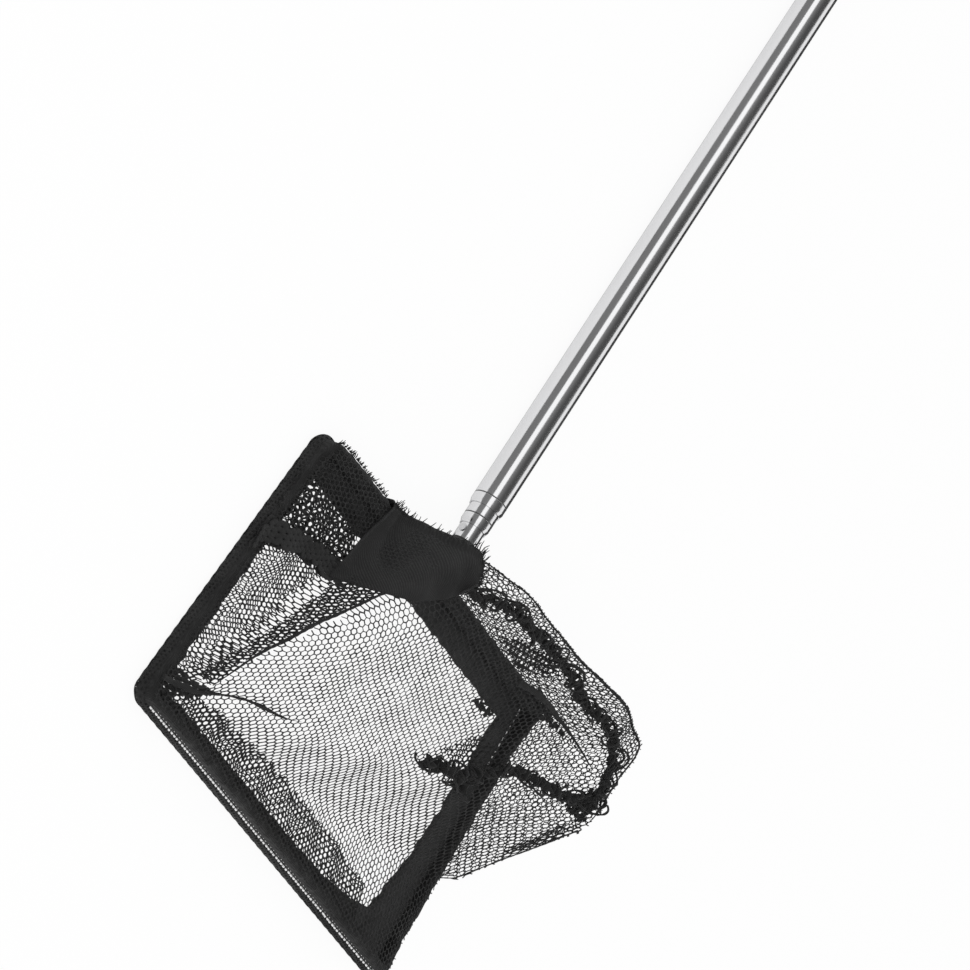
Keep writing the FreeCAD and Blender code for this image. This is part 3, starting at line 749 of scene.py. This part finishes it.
def rolled_fold(path, radii, flat=0.6, sides=6):
    """A thin roll of folded cloth along a path of points, thick or thin as radii say."""
    centre = spaced_path(path, ROLL_STEP)
    share = np.linspace(0, 1, len(centre))
    radius = np.interp(share, np.linspace(0, 1, len(radii)), radii)
    side = sideways(centre)
    turns = np.linspace(0, 2 * np.pi, sides, endpoint=False)
    points = []
    for spot, out, size, at in zip(centre, side, radius, share * len(centre)):
        uneven = 1 + 0.25 * math.sin(at * 1.7) + 0.15 * math.sin(at * 0.53 + 1)
        for turn in turns:
            reach = size * uneven * math.cos(turn)
            lift = size * flat * math.sin(turn)
            points.append((spot[0] + out[0] * reach, spot[1] + out[1] * reach, spot[2] + lift))
    return np.array(points), tube_faces(len(centre), sides)


def ruffle(path, height, sway, length, seed):
    """A gathered strip that stands on a path and sways from side to side."""
    foot = spaced_path(path, RUFFLE_STEP)
    side = sideways(foot)
    along = np.arange(len(foot)) * RUFFLE_STEP
    random = np.random.default_rng(seed)
    phase = 2 * np.pi * along / length + 1.6 * ripple(along, seed + 1)
    tall = height * np.clip(1 + 0.9 * ripple(along, seed + 2, (6, 11, 19)), 0.25, 1.9)
    rows = []
    for share in (-0.25, 0.0, 0.3, 0.65, 1.0):
        out = sway * (0.35 + 0.65 * abs(share)) * np.sin(phase + 1.2 * share)
        out += random.normal(0, 0.25, len(foot))
        spot = foot[:, :2] + side * out[:, None]
        rows.append(np.column_stack([spot, foot[:, 2] + tall * share]))
    return np.vstack(rows), grid_faces(len(rows), len(foot))


def curl(path, reach, pitch, seed):
    """A curly edge that loops along a seam, as a path of points."""
    foot = spaced_path(path, CURL_STEP)
    side = sideways(foot)
    ahead = np.column_stack([-side[:, 1], side[:, 0]])
    along = np.arange(len(foot)) * CURL_STEP
    phase = 2 * np.pi * along / pitch + 1.3 * ripple(along, seed)
    size = reach * np.clip(1 + 0.8 * ripple(along, seed + 1, (9, 14, 23)), 0.3, 1.8)
    spot = foot[:, :2] + side * (size * np.sin(phase))[:, None] + ahead * (size * np.cos(phase))[:, None]
    return np.column_stack([spot, foot[:, 2] + 0.6 * size * (1 + np.sin(1.7 * phase))])


SEAM_PLAN = [(-50, 69), (-43, 72), (-37, 75), (-29, 77), (-20, 80), (-9, 81), (1, 80), (11, 82), (24, 82),
             (35, 83), (50, 81), (66, 77), (75, 78), (89, 77), (105, 73), (117, 66), (123, 56), (129, 46)]
CROSS_PLAN = [(129, 46), (122, 40), (114, 36), (101, 32), (88, 29), (78, 26), (68, 22), (57, 12), (48, 3),
              (40, -3)]
BLOB_PLAN = [(53, -5), (44, -3), (35, -4), (26, -7), (19, -11)]
SMALL_BLOB_PLAN = [(12, 32), (19, 33), (26, 34)]
SIDE_EDGE = [(142, 30), (143, 7), (143, -14), (142, -26), (145, -45)]


def seam_ruffles():
    """The gathered strips that stand on the seams."""
    parts = [
        ruffle(on_top(smooth_path(plan, 2.0), 0.6), height, sway, length, seed)
        for plan, height, sway, length, seed in (
            (SEAM_PLAN, 4.5, 2.4, 11.0, 31),
            (SEAM_PLAN, 3.5, 3.4, 7.4, 41),
            (CROSS_PLAN, 4.5, 2.4, 9.3, 51),
            (CROSS_PLAN, 3.5, 3.4, 6.6, 61),
            (BLOB_PLAN, 6.5, 4.5, 10.0, 71),
            (SMALL_BLOB_PLAN, 3.0, 2.0, 5.0, 91),
        )
    ]
    return thicken(new_object("bag_seam_ruffles", *joined(parts), HEM_CLOTH), 0.9)


def seam_curls():
    """The curly edges of the same strips."""
    parts = []
    for plan, reach, pitch, seed in (
        (SEAM_PLAN, 3.6, 7.0, 131),
        (SEAM_PLAN, 4.8, 12.0, 141),
        (CROSS_PLAN, 3.6, 7.5, 151),
        (CROSS_PLAN, 4.6, 11.0, 155),
        (BLOB_PLAN, 6.0, 8.0, 161),
        (BLOB_PLAN, 4.2, 6.0, 165),
        (SMALL_BLOB_PLAN, 3.2, 6.0, 171),
    ):
        path = curl(on_top(smooth_path(plan, 2.0), 1.0), reach, pitch, seed)
        parts.append(rolled_fold(path, (0.8, 0.8), 1.0, 5))
    return new_object("bag_seam_curls", *joined(parts), HEM_CLOTH)


def ridge_points():
    """Points along the upper edge of the back wall, round the far corner."""
    spots = WALL_PATH[(WALL_RUN > RIDGE_START) & (WALL_RUN < WALL_RUN[-1] - RIDGE_END_GAP)]
    return on_top(spots[::3], 0.3)


def fold_rolls():
    """Rolls of cloth along the folds and along the far upper edge; the roll on the wrinkle is partly
    painted shade.
    """
    rolls = (
        # Painted shade: the thick dark roll on the wrinkle is partly a fold of cloth and partly the shade
        # the wrinkle casts.
        (WRINKLE, 0.6, (1.6, 2.6, 2.4, 1.4, 0.9, 0.7, 1.0, 1.5, 1.1, 0.4, 0.1)),
        (MAIN_FOLD, 1.0, (0.3, 1.1, 1.5, 1.2, 1.0, 0.7, 0.3)),
        (LONG_FOLD, 0.6, (2.6, 3.0, 2.4, 1.4, 0.8, 0.4)),
        (SIDE_EDGE, 0.2, (0.8, 0.9, 0.7, 0.8, 0.6)),
    )
    parts = [rolled_fold(on_top(smooth_path(plan, 3), above), radii) for plan, above, radii in rolls]
    parts.append(rolled_fold(ridge_points(), (0.5, 0.7, 0.8, 1.1, 1.3, 1.1, 0.7, 0.5)))
    return soften(new_object("bag_fold_rolls", *joined(parts), HEM_CLOTH))


# Rim: wound mesh, hem and facing

RIM_STEP = 1.5
WRAP_STEP = 1.2
WRAP_SIDES = 12
SLEEVE_OVERLAP = 1.5
HEM_STEP = 1.4
# Section of the hem: distance out of the rim's line, share of the hem's height
HEM_PROFILE = (
    (HEM_OUTSET, 0.02),
    (HEM_OUTSET + 0.8, 0.25),
    (HEM_OUTSET + 0.3, 0.5),
    (HEM_OUTSET + 0.6, 0.75),
    (HEM_OUTSET - 0.3, 0.95),
    (-1.5, 1.03),
    (HEM_INSET + 0.3, 0.94),
    (HEM_INSET - 0.4, 0.67),
    (HEM_INSET, 0.38),
    (HEM_INSET - 0.2, 0.12),
    (-2.5, 0.09),
)
RIM_CORNERS = np.array([
    (BACK_HALF_WIDTH, BACK_Y),
    (-BACK_HALF_WIDTH, BACK_Y),
    (-FRONT_HALF_WIDTH, FRONT_Y),
    (FRONT_HALF_WIDTH, FRONT_Y),
])


def rim_path():
    """The rim's centre line, round the four corners, from the middle of the back."""
    path = [(0.0, BACK_Y)]
    for number in (1, 2, 3, 0):
        corner = RIM_CORNERS[number]
        back = RIM_CORNERS[number - 1] - corner
        onward = RIM_CORNERS[(number + 1) % 4] - corner
        back /= np.linalg.norm(back)
        onward /= np.linalg.norm(onward)
        half = math.acos(float(back @ onward)) / 2
        centre = corner + (back + onward) / np.linalg.norm(back + onward) * (
            RIM_CORNER_RADIUS / math.sin(half))
        start = corner + back * RIM_CORNER_RADIUS / math.tan(half) - centre
        end = corner + onward * RIM_CORNER_RADIUS / math.tan(half) - centre
        first = math.atan2(start[1], start[0])
        sweep = (math.atan2(end[1], end[0]) - first + np.pi) % (2 * np.pi) - np.pi
        for share in np.linspace(0, 1, 9):
            turn = first + sweep * share
            path.append(tuple(centre + RIM_CORNER_RADIUS * np.array((math.cos(turn), math.sin(turn)))))
    return spaced_path(path, RIM_STEP, closed=True)


RIM = rim_path()
RIM_OUT = -sideways(RIM, closed=True)
RIM_SPACING = float(np.linalg.norm(np.diff(RIM, axis=0), axis=1).mean())
RIM_RUN = np.arange(len(RIM) + 1) * RIM_SPACING
RIM_LENGTH = RIM_RUN[-1]


def on_rim(run):
    """Places along the rim and the directions out of it."""
    ring = np.vstack([RIM, RIM[:1]])
    outs = np.vstack([RIM_OUT, RIM_OUT[:1]])
    turn = np.mod(run, RIM_LENGTH)
    place = interpolated(turn, RIM_RUN, ring)
    out = interpolated(turn, RIM_RUN, outs)
    return place, out / np.linalg.norm(out, axis=1)[:, None]


def around_rim(run, turn, radius):
    """Points on a round section about the rim's line."""
    place, out = on_rim(run)
    reach = radius * np.cos(turn)
    return np.column_stack([place + out * reach[:, None], RIM_HEIGHT + radius * np.sin(turn)])


def wrap_core():
    """The turns of mesh wound close on the wire, left open at the neck."""
    run = np.arange(WRAP_NECK_HALF, RIM_LENGTH - WRAP_NECK_HALF, WRAP_STEP)
    lines = []
    for turn in np.linspace(0, 2 * np.pi, WRAP_SIDES, endpoint=False):
        radius = WRAP_CORE_RADIUS + 0.25 * np.sin(run * 1.9 + 2 * turn) + 0.15 * ripple(run + 9 * turn, 5)
        lines.append(around_rim(run, np.full(len(run), turn), radius))
    points = np.stack(lines, axis=1).reshape(-1, 3)
    return new_object("rim_wrap_core", points, tube_faces(len(run), WRAP_SIDES), WRAP_CORE)


def wrap_sleeve():
    """The outermost turn of mesh, whose holes show."""
    girth = 2 * np.pi * WRAP_RADIUS + SLEEVE_OVERLAP

    def test(run, spread):
        around = (spread >= 0) & (spread < girth)
        return around & (run > WRAP_NECK_HALF) & (run < RIM_LENGTH - WRAP_NECK_HALF)

    def lift(run, spread):
        radius = WRAP_RADIUS + 0.12 * np.sin(run * 0.8)
        return around_rim(run, -spread / WRAP_RADIUS, radius)

    net = hex_net(test, lift, turned_steps(8, 0.68), 0.5, (0, RIM_LENGTH, 0, girth + 0.5), 0.08, 15)
    return thicken(new_object("rim_wrap_sleeve", *net, NET_THREAD), 0.5)


def hem_band():
    """Upright hem, a closed fold of cloth whose sides are gathered."""
    run = np.arange(0, RIM_LENGTH, HEM_STEP)
    place, out = on_rim(run)
    height = hem_top(*place.T) - HEM_LOW
    rows = []
    for number, (outset, share) in enumerate(HEM_PROFILE):
        loose = 0.25 + 0.75 * share
        reach = outset + 0.7 * loose * ripple(run, 61 + number // 5, (7, 11, 19))
        drop = 0.9 * share * ripple(run, 66, (13, 31, 47))
        rows.append(np.column_stack([place + out * reach[:, None], HEM_LOW + share * height + drop]))
    faces = grid_faces(len(rows), len(run), True, True)
    return soften(new_object("hem_band", np.vstack(rows), faces, HEM_CLOTH))


def facing_width(run):
    """How far the facing reaches in, which differs from side to side."""
    place, _ = on_rim(run)
    x, y = place.T
    width = by_side(FACING_WIDTHS, x, y)
    corner = np.hypot(x - FRONT_HALF_WIDTH, y - FRONT_Y)
    return width + FACING_CORNER_EXTRA * np.exp(-(corner / FACING_CORNER_REACH) ** 2)


def hem_facing():
    """Inner edge of the hem, turned flat inwards all round."""
    run = np.arange(0, RIM_LENGTH, HEM_STEP)
    place, out = on_rim(run)
    width = facing_width(run)
    rows = []
    for side in (1, -1):
        for share in np.linspace(0, 1, 6)[::side]:
            reach = -(FACING_ROOT + (width - FACING_ROOT) * share)
            reach += 0.8 * share * ripple(run, 71, (11, 17, 37))
            height = RIM_HEIGHT + 0.9 * side + 0.8 * share * ripple(run, 72, (9, 16, 33))
            rows.append(np.column_stack([place + out * reach[:, None], height]))
    faces = grid_faces(len(rows), len(run), True, True)
    # The facing's cloth is painted lighter than the hem's, against the shade of the net over it.
    return new_object("hem_facing", np.vstack(rows), faces, LIGHTENED_FACING_CLOTH)


# Rows of stitches: first corner and distance past it, last corner and distance past it,
# height, distance out of the rim's line, length, width and pitch of the stitches
STITCH_ROWS = (
    ("front_left", 4, "front_right", -4, 10.5, 2.9, 2.2, 1.5, 3.2),
    ("front_left", 8, "front_right", -8, 13.5, 2.6, 0.8, 0.35, 3.2),
    ("back_right", -66, "back_right", -12, RIM_HEIGHT + 2.6, -9.0, 2.0, 0.9, 4.4),
)
UP = np.array((0, 0, 1))


def stitch(middle, along, out, length, width):
    """One stitch, thickest in its middle."""
    points = []
    for end, swell in ((-1, 0.6), (-0.6, 1), (0.6, 1), (1, 0.6)):
        for side, lift in ((-1, 0), (0, 1), (1, 0), (0, -1)):
            spot = middle + along * end * length / 2
            points.append(spot + UP * side * swell * width / 2 + out * lift * swell * width / 2)
    return np.array(points), tube_faces(4, 4)


def stitch_row(random, start, end, height, outset, length, width, pitch):
    """Stitches between two places on the rim, none quite like the next."""
    row = []
    for run in np.arange(start, end, pitch):
        run = run + random.normal(0, 0.15)
        place, out = on_rim(np.array([run, run + 1.0]))
        along = np.array((*(place[1] - place[0]), 0.0))
        along /= np.linalg.norm(along)
        outward = np.array((*out[0], 0.0))
        spot = np.array((*place[0], height + random.normal(0, 0.15))) + outward * outset
        row.append(stitch(spot, along, outward, length * random.uniform(0.8, 1.1), width))
    return row


def hem_stitches():
    """Rows of pale stitches through the hem."""
    random = np.random.default_rng(7)
    side_length = float(np.linalg.norm(RIM_CORNERS[2] - RIM_CORNERS[1]))
    runs = {"front_left": BACK_HALF_WIDTH + side_length}
    runs["front_right"] = runs["front_left"] + 2 * FRONT_HALF_WIDTH
    runs["back_right"] = runs["front_right"] + side_length
    parts = []
    for first, past_first, last, past_last, *sizes in STITCH_ROWS:
        parts += stitch_row(random, runs[first] + past_first, runs[last] + past_last, *sizes)
    return new_object("hem_stitches", *joined(parts), STITCH_THREAD)


# Painted shade at the crimp lines of the pole's mouths: thin dark rings

CRIMP_SIDES = 96
CRIMP_RING = 8
CRIMP_HALF_DEPTH = 0.14
CRIMP_HALF_LENGTH = 0.55
# Name, place along the pole, radius and body
CRIMP_SHADE_RINGS = (
    ("outer_crimp_shade_ring", 154.0, 10.86, "handle"),
    ("middle_crimp_shade_ring", 140.0, 9.36, "middle_section"),
)


def crimp_shade_ring(name, y, radius, body):
    """A thin dark ring of painted shade, where a line is pressed into a tube behind its mouth."""
    points = []
    for turn in np.linspace(0, 2 * np.pi, CRIMP_SIDES, endpoint=False):
        for around in np.linspace(0, 2 * np.pi, CRIMP_RING, endpoint=False):
            reach = radius + CRIMP_HALF_DEPTH * math.cos(around)
            points.append((reach * math.cos(turn), y + CRIMP_HALF_LENGTH * math.sin(around),
                           POLE_AXIS_HEIGHT + reach * math.sin(turn)))
    # The ring is painted shade: a dark band laid where the groove's shade falls.
    piece = new_object(name, points, grid_faces(CRIMP_SIDES, CRIMP_RING, True, True), CRIMP_PAINTED_SHADE)
    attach(piece, body)


for crimp in CRIMP_SHADE_RINGS:
    crimp_shade_ring(*crimp)


# Gathered patch over the neck, and thread ends

PATCH_COLUMNS = 90
PATCH_ROWS = 34
PATCH_OUTER = [(-80, 96), (-51, 96)]
PATCH_INNER = [(-95, 33), (-89, 35), (-79, 40), (-69, 45), (-59, 55), (-51, 66), (-46, 76)]
PATCH_FOOT_HEIGHT = 10.0
PATCH_BACK_Y = 92.0
CREST_SHARE = 0.3
HEM_FRINGE_START = 85.0
HEM_FRINGE_PITCH = 1.1
HEM_FRINGE_DROP = 1.5


def patch_spot(start, end, s, t):
    """A place on the patch: s runs along the hem, t up its outside and then in over the bag."""
    pleat = math.sin(s * 2 * math.pi * 5 + 2.0 * math.sin(3 * s + 2 * t)) * (0.35 + 0.4 * t)
    pleat += 0.15 * math.sin(s * 2 * math.pi * 8 + 5 * t)
    if t < CREST_SHARE:
        down = 1 - t / CREST_SHARE
        x, y = start + (0, 2.2 + 0.6 * pleat)
        crest = top_height(x, PATCH_BACK_Y) + 1.0
        return x, y, PATCH_FOOT_HEIGHT * down + crest * (1 - down)
    inward = (t - CREST_SHARE) / (1 - CREST_SHARE)
    x, y = start * (1 - inward) + end * inward
    return x, y, top_height(x, min(y, PATCH_BACK_Y)) + 2.0 + 0.9 * pleat


def patch_sheet():
    """Opaque cloth gathered over the back hem and laid in over the bag, and its edge."""
    inner = spaced_path(PATCH_INNER, 1.0)
    shares = np.linspace(0, 1, PATCH_COLUMNS)
    ends = interpolated(shares, np.linspace(0, 1, len(inner)), inner)
    starts = interpolated(shares, (0, 1), PATCH_OUTER)
    points = [
        patch_spot(start, end, s, t)
        for t in np.linspace(0, 1, PATCH_ROWS)
        for start, end, s in zip(starts, ends, shares)
    ]
    patch = new_object("neck_patch_cloth", points, grid_faces(PATCH_ROWS, PATCH_COLUMNS), HEM_CLOTH)
    crest = round(CREST_SHARE * (PATCH_ROWS - 1)) * PATCH_COLUMNS
    after_crest = crest + PATCH_COLUMNS
    edge = points[crest:after_crest:2] + points[after_crest - 1::PATCH_COLUMNS]
    return soften(thicken(patch, 0.9)), edge


def hem_edge():
    """Places along the upper outer edge of the back hem, left of the neck."""
    place, out = on_rim(np.arange(HEM_FRINGE_START, BACK_HALF_WIDTH, HEM_FRINGE_PITCH))
    spot = place + out * HEM_OUTSET
    return np.column_stack([spot, hem_top(*place.T) - HEM_FRINGE_DROP])


def fringe(name, edge, longest, seed):
    """Short ends of mesh thread that stand out of a gathered edge."""
    random = np.random.default_rng(seed)
    threads = []
    for root in np.array(edge):
        out = np.array((random.normal(0, 0.3), 1.0, random.uniform(-0.1, 0.7)))
        length = random.uniform(longest / 3, longest)
        bend = np.array((random.normal(0, 0.6), 0.0, random.normal(0, 0.4)))
        path = np.array([root, root + out * length / 2 + bend, root + out * length])
        threads.append(rolled_fold(path, (0.45, 0.4, 0.2), 1.0, 4))
    return new_object(name, *joined(threads), NET_THREAD)


# Build the pieces and tie them to the CAD

def net_body_piece(piece, replaces=()):
    """Ties a piece to the net's body, in the place of some CAD nodes."""
    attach(piece, "net")
    if replaces:
        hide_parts(*replaces)


def net_body_sheet(piece, replaces=()):
    """The same for cloth."""
    net_body_piece(piece, replaces)


SIDES = ("back", "left", "front", "right")
net_body_sheet(
    left_net(),
    ["bag_left_panel", "bag_fold_panel"],
)
net_body_sheet(
    main_net(),
    ["bag_main_panel_left", "bag_main_panel_middle", "bag_main_panel_right", "bag_corner_panel",
     "bag_side_panel", "bag_front_panel"],
)
net_body_sheet(folded_net(), ())
net_body_sheet(
    wall_net(), ["bag_back_wall", "bag_side_wall"],
)
net_body_sheet(
    seam_ruffles(),
    ["seam_back_left", "seam_back", "seam_corner", "seam_side", "seam_cross"],
)
net_body_sheet(seam_curls(), ())
net_body_sheet(fold_rolls(), ())
net_body_sheet(
    wrap_core(),
    ["rim_wrap_back_left", "rim_wrap_back_right", "rim_wrap_left", "rim_wrap_front", "rim_wrap_right"],
)
net_body_sheet(wrap_sleeve(), ())
net_body_sheet(
    hem_band(), ["hem_" + s for s in SIDES],
)
net_body_sheet(
    hem_facing(),
    ["hem_facing_" + s for s in SIDES],
)
patch, patch_edge = patch_sheet()
net_body_sheet(patch, ["neck_patch"])
net_body_piece(fringe("neck_patch_fringe", patch_edge, 6.0, 23))
net_body_piece(fringe("hem_fringe", hem_edge(), 3.4, 29))
net_body_piece(hem_stitches())


# Floor, light and camera

FLOOR_REACH = 3000.0
FLOOR_HEIGHT = -0.2
STRIP_HEIGHT = 0.1
CARD_DISTANCE = 1500.0
CARD_ENDS_Y = (-2500.0, 3500.0)
CAMERA_PLACE = (-2.56987, -1.42744, 2.35579)
CAMERA_RIGHT = Vector((0.42781, 0.51276, 0.74435))
CAMERA_UP = Vector((-0.58048, 0.78710, -0.20858))
CAMERA_FORWARD = Vector((0.69283, 0.34285, -0.63438))
LENS_LENGTH = 231.41
SENSOR_WIDTH = 36.0
KEY_PLACE = Vector((-1.6, -1.6, 2.4))
KEY_AIM = Vector((0, -0.2, 0))
KEY_SIZE = 1.6
KEY_POWER = 30
# Cards: angles round the pole's axis from +X over the top, and how bright each is
CARDS = (
    (146, 183, 0.21),
    (120, 144, 1.2),
    (109, 117, 0.24),
    (102, 109, 0.19),
    (95, 102, 0.155),
    (86, 95, 0.115),
    (55, 86, 0.085),
    (-2, 20, 0.05),
)
# Strips on the floor: name, reach across, and how bright each is
STRIPS = (
    ("strip_left", -2500.0, -105.0, 0.20),
    # Painted shadow: the strip under the pole darkens the floor seen in its reflection, in place of the
    # pole's shadow there.
    ("pole_shadow_strip", -6.0, 5.0, 0.56),
    ("strip_right", 60.0, 2500.0, 0.05),
)


def shown(tree, output, surface):
    set_inputs(tree, tree.nodes[output], {"Surface": surface.outputs[0]})


def mixed_shaders(tree, share, first, second):
    return add_node(tree, "MixShader", {0: share, 1: first.outputs[0], 2: second.outputs[0]})


def camera_white(name, diffuse, camera_share, mirror_share):
    """Nearly white to the camera and in reflections, plain paint to all other light."""
    material, tree, shader = new_material(name)
    tree.nodes.remove(shader)
    rays = add_node(tree, "LightPath").outputs
    weights = {"Camera": camera_share, "Glossy": mirror_share, "Transmission": camera_share}
    share = 0.0
    for kind, weight in weights.items():
        share = maths(tree, "MULTIPLY_ADD", rays["Is " + kind + " Ray"], weight, share, clamp=True)
    paint = add_node(tree, "BsdfDiffuse", {"Color": (*grey(diffuse), 1)})
    shown(tree, "Material Output", mixed_shaders(tree, share, paint, add_node(tree, "Emission")))
    return material


def glowing(name, level):
    material, tree, shader = new_material(name)
    tree.nodes.remove(shader)
    shown(tree, "Material Output", add_node(tree, "Emission", {"Color": (*grey(level), 1)}))
    return material


def flat_strip(name, x_ends, y_ends, height, material):
    """A flat rectangle between two places across and two along."""
    (x_low, x_high), (y_low, y_high) = x_ends, y_ends
    plan = ((x_low, y_low), (x_high, y_low), (x_high, y_high), (x_low, y_high))
    return new_object(name, [(x, y, height) for x, y in plan], [(0, 1, 2, 3)], material, False)


def floor():
    ends = (-FLOOR_REACH, FLOOR_REACH)
    white = camera_white("floor_white", diffuse=0.9, camera_share=0.92, mirror_share=0.55)
    flat_strip("floor", ends, ends, FLOOR_HEIGHT, white)


def glossy_only(piece):
    """Hides a piece of the stage from all but reflections."""
    for rays in ("camera", "diffuse", "shadow", "transmission"):
        setattr(piece, "visible_" + rays, False)


def floor_strip(name, x_low, x_high, level):
    """A strip just over the floor that only reflections see."""
    glossy_only(flat_strip(name, (x_low, x_high), CARD_ENDS_Y, STRIP_HEIGHT, glowing(name, level)))


def card(name, start, end, level):
    """A long card beside the pole that only reflections see, between two angles round its axis."""
    points = []
    for turn in np.radians(np.linspace(start, end, 9)):
        for y in CARD_ENDS_Y:
            points.append((CARD_DISTANCE * math.cos(turn), y,
                           POLE_AXIS_HEIGHT + CARD_DISTANCE * math.sin(turn)))
    glossy_only(new_object(name, points, grid_faces(9, 2), glowing(name, level), False))


def key_light():
    lamp = bpy.data.lights.new("key", "AREA")
    lamp.size = KEY_SIZE
    lamp.energy = KEY_POWER
    holder = bpy.data.objects.new("key", lamp)
    holder.location = KEY_PLACE
    holder.rotation_euler = (KEY_AIM - KEY_PLACE).to_track_quat("-Z", "Y").to_euler()
    holder.visible_glossy = False
    bpy.context.collection.objects.link(holder)


def world():
    """White to the camera and in reflections, a little dimmer as light."""
    sky = bpy.data.worlds.new("world")
    sky.use_nodes = True
    tree = sky.node_tree
    dim = tree.nodes["Background"]
    set_inputs(tree, dim, {"Color": (1, 1, 1, 1), "Strength": 0.8})
    white = add_node(tree, "Background", {"Color": (1, 1, 1, 1), "Strength": 1.0})
    rays = add_node(tree, "LightPath").outputs
    seen = maths(tree, "MAXIMUM", rays["Is Camera Ray"], rays["Is Glossy Ray"])
    shown(tree, "World Output", mixed_shaders(tree, seen, dim, white))
    bpy.context.scene.world = sky


def camera():
    lens = bpy.data.cameras.new("camera")
    lens.lens = LENS_LENGTH
    lens.sensor_width = SENSOR_WIDTH
    lens.clip_start = 0.1
    lens.clip_end = 50.0
    holder = bpy.data.objects.new("camera", lens)
    turn = Matrix((CAMERA_RIGHT, CAMERA_UP, -CAMERA_FORWARD)).transposed()
    holder.matrix_world = Matrix.Translation(CAMERA_PLACE) @ turn.to_4x4()
    bpy.context.collection.objects.link(holder)
    bpy.context.scene.camera = holder


floor()
for number, (start, end, level) in enumerate(CARDS):
    card("card_%02d" % number, start, end, level)
for strip in STRIPS:
    floor_strip(*strip)
key_light()
world()
camera()
bpy.context.scene.view_settings.view_transform = "Standard"
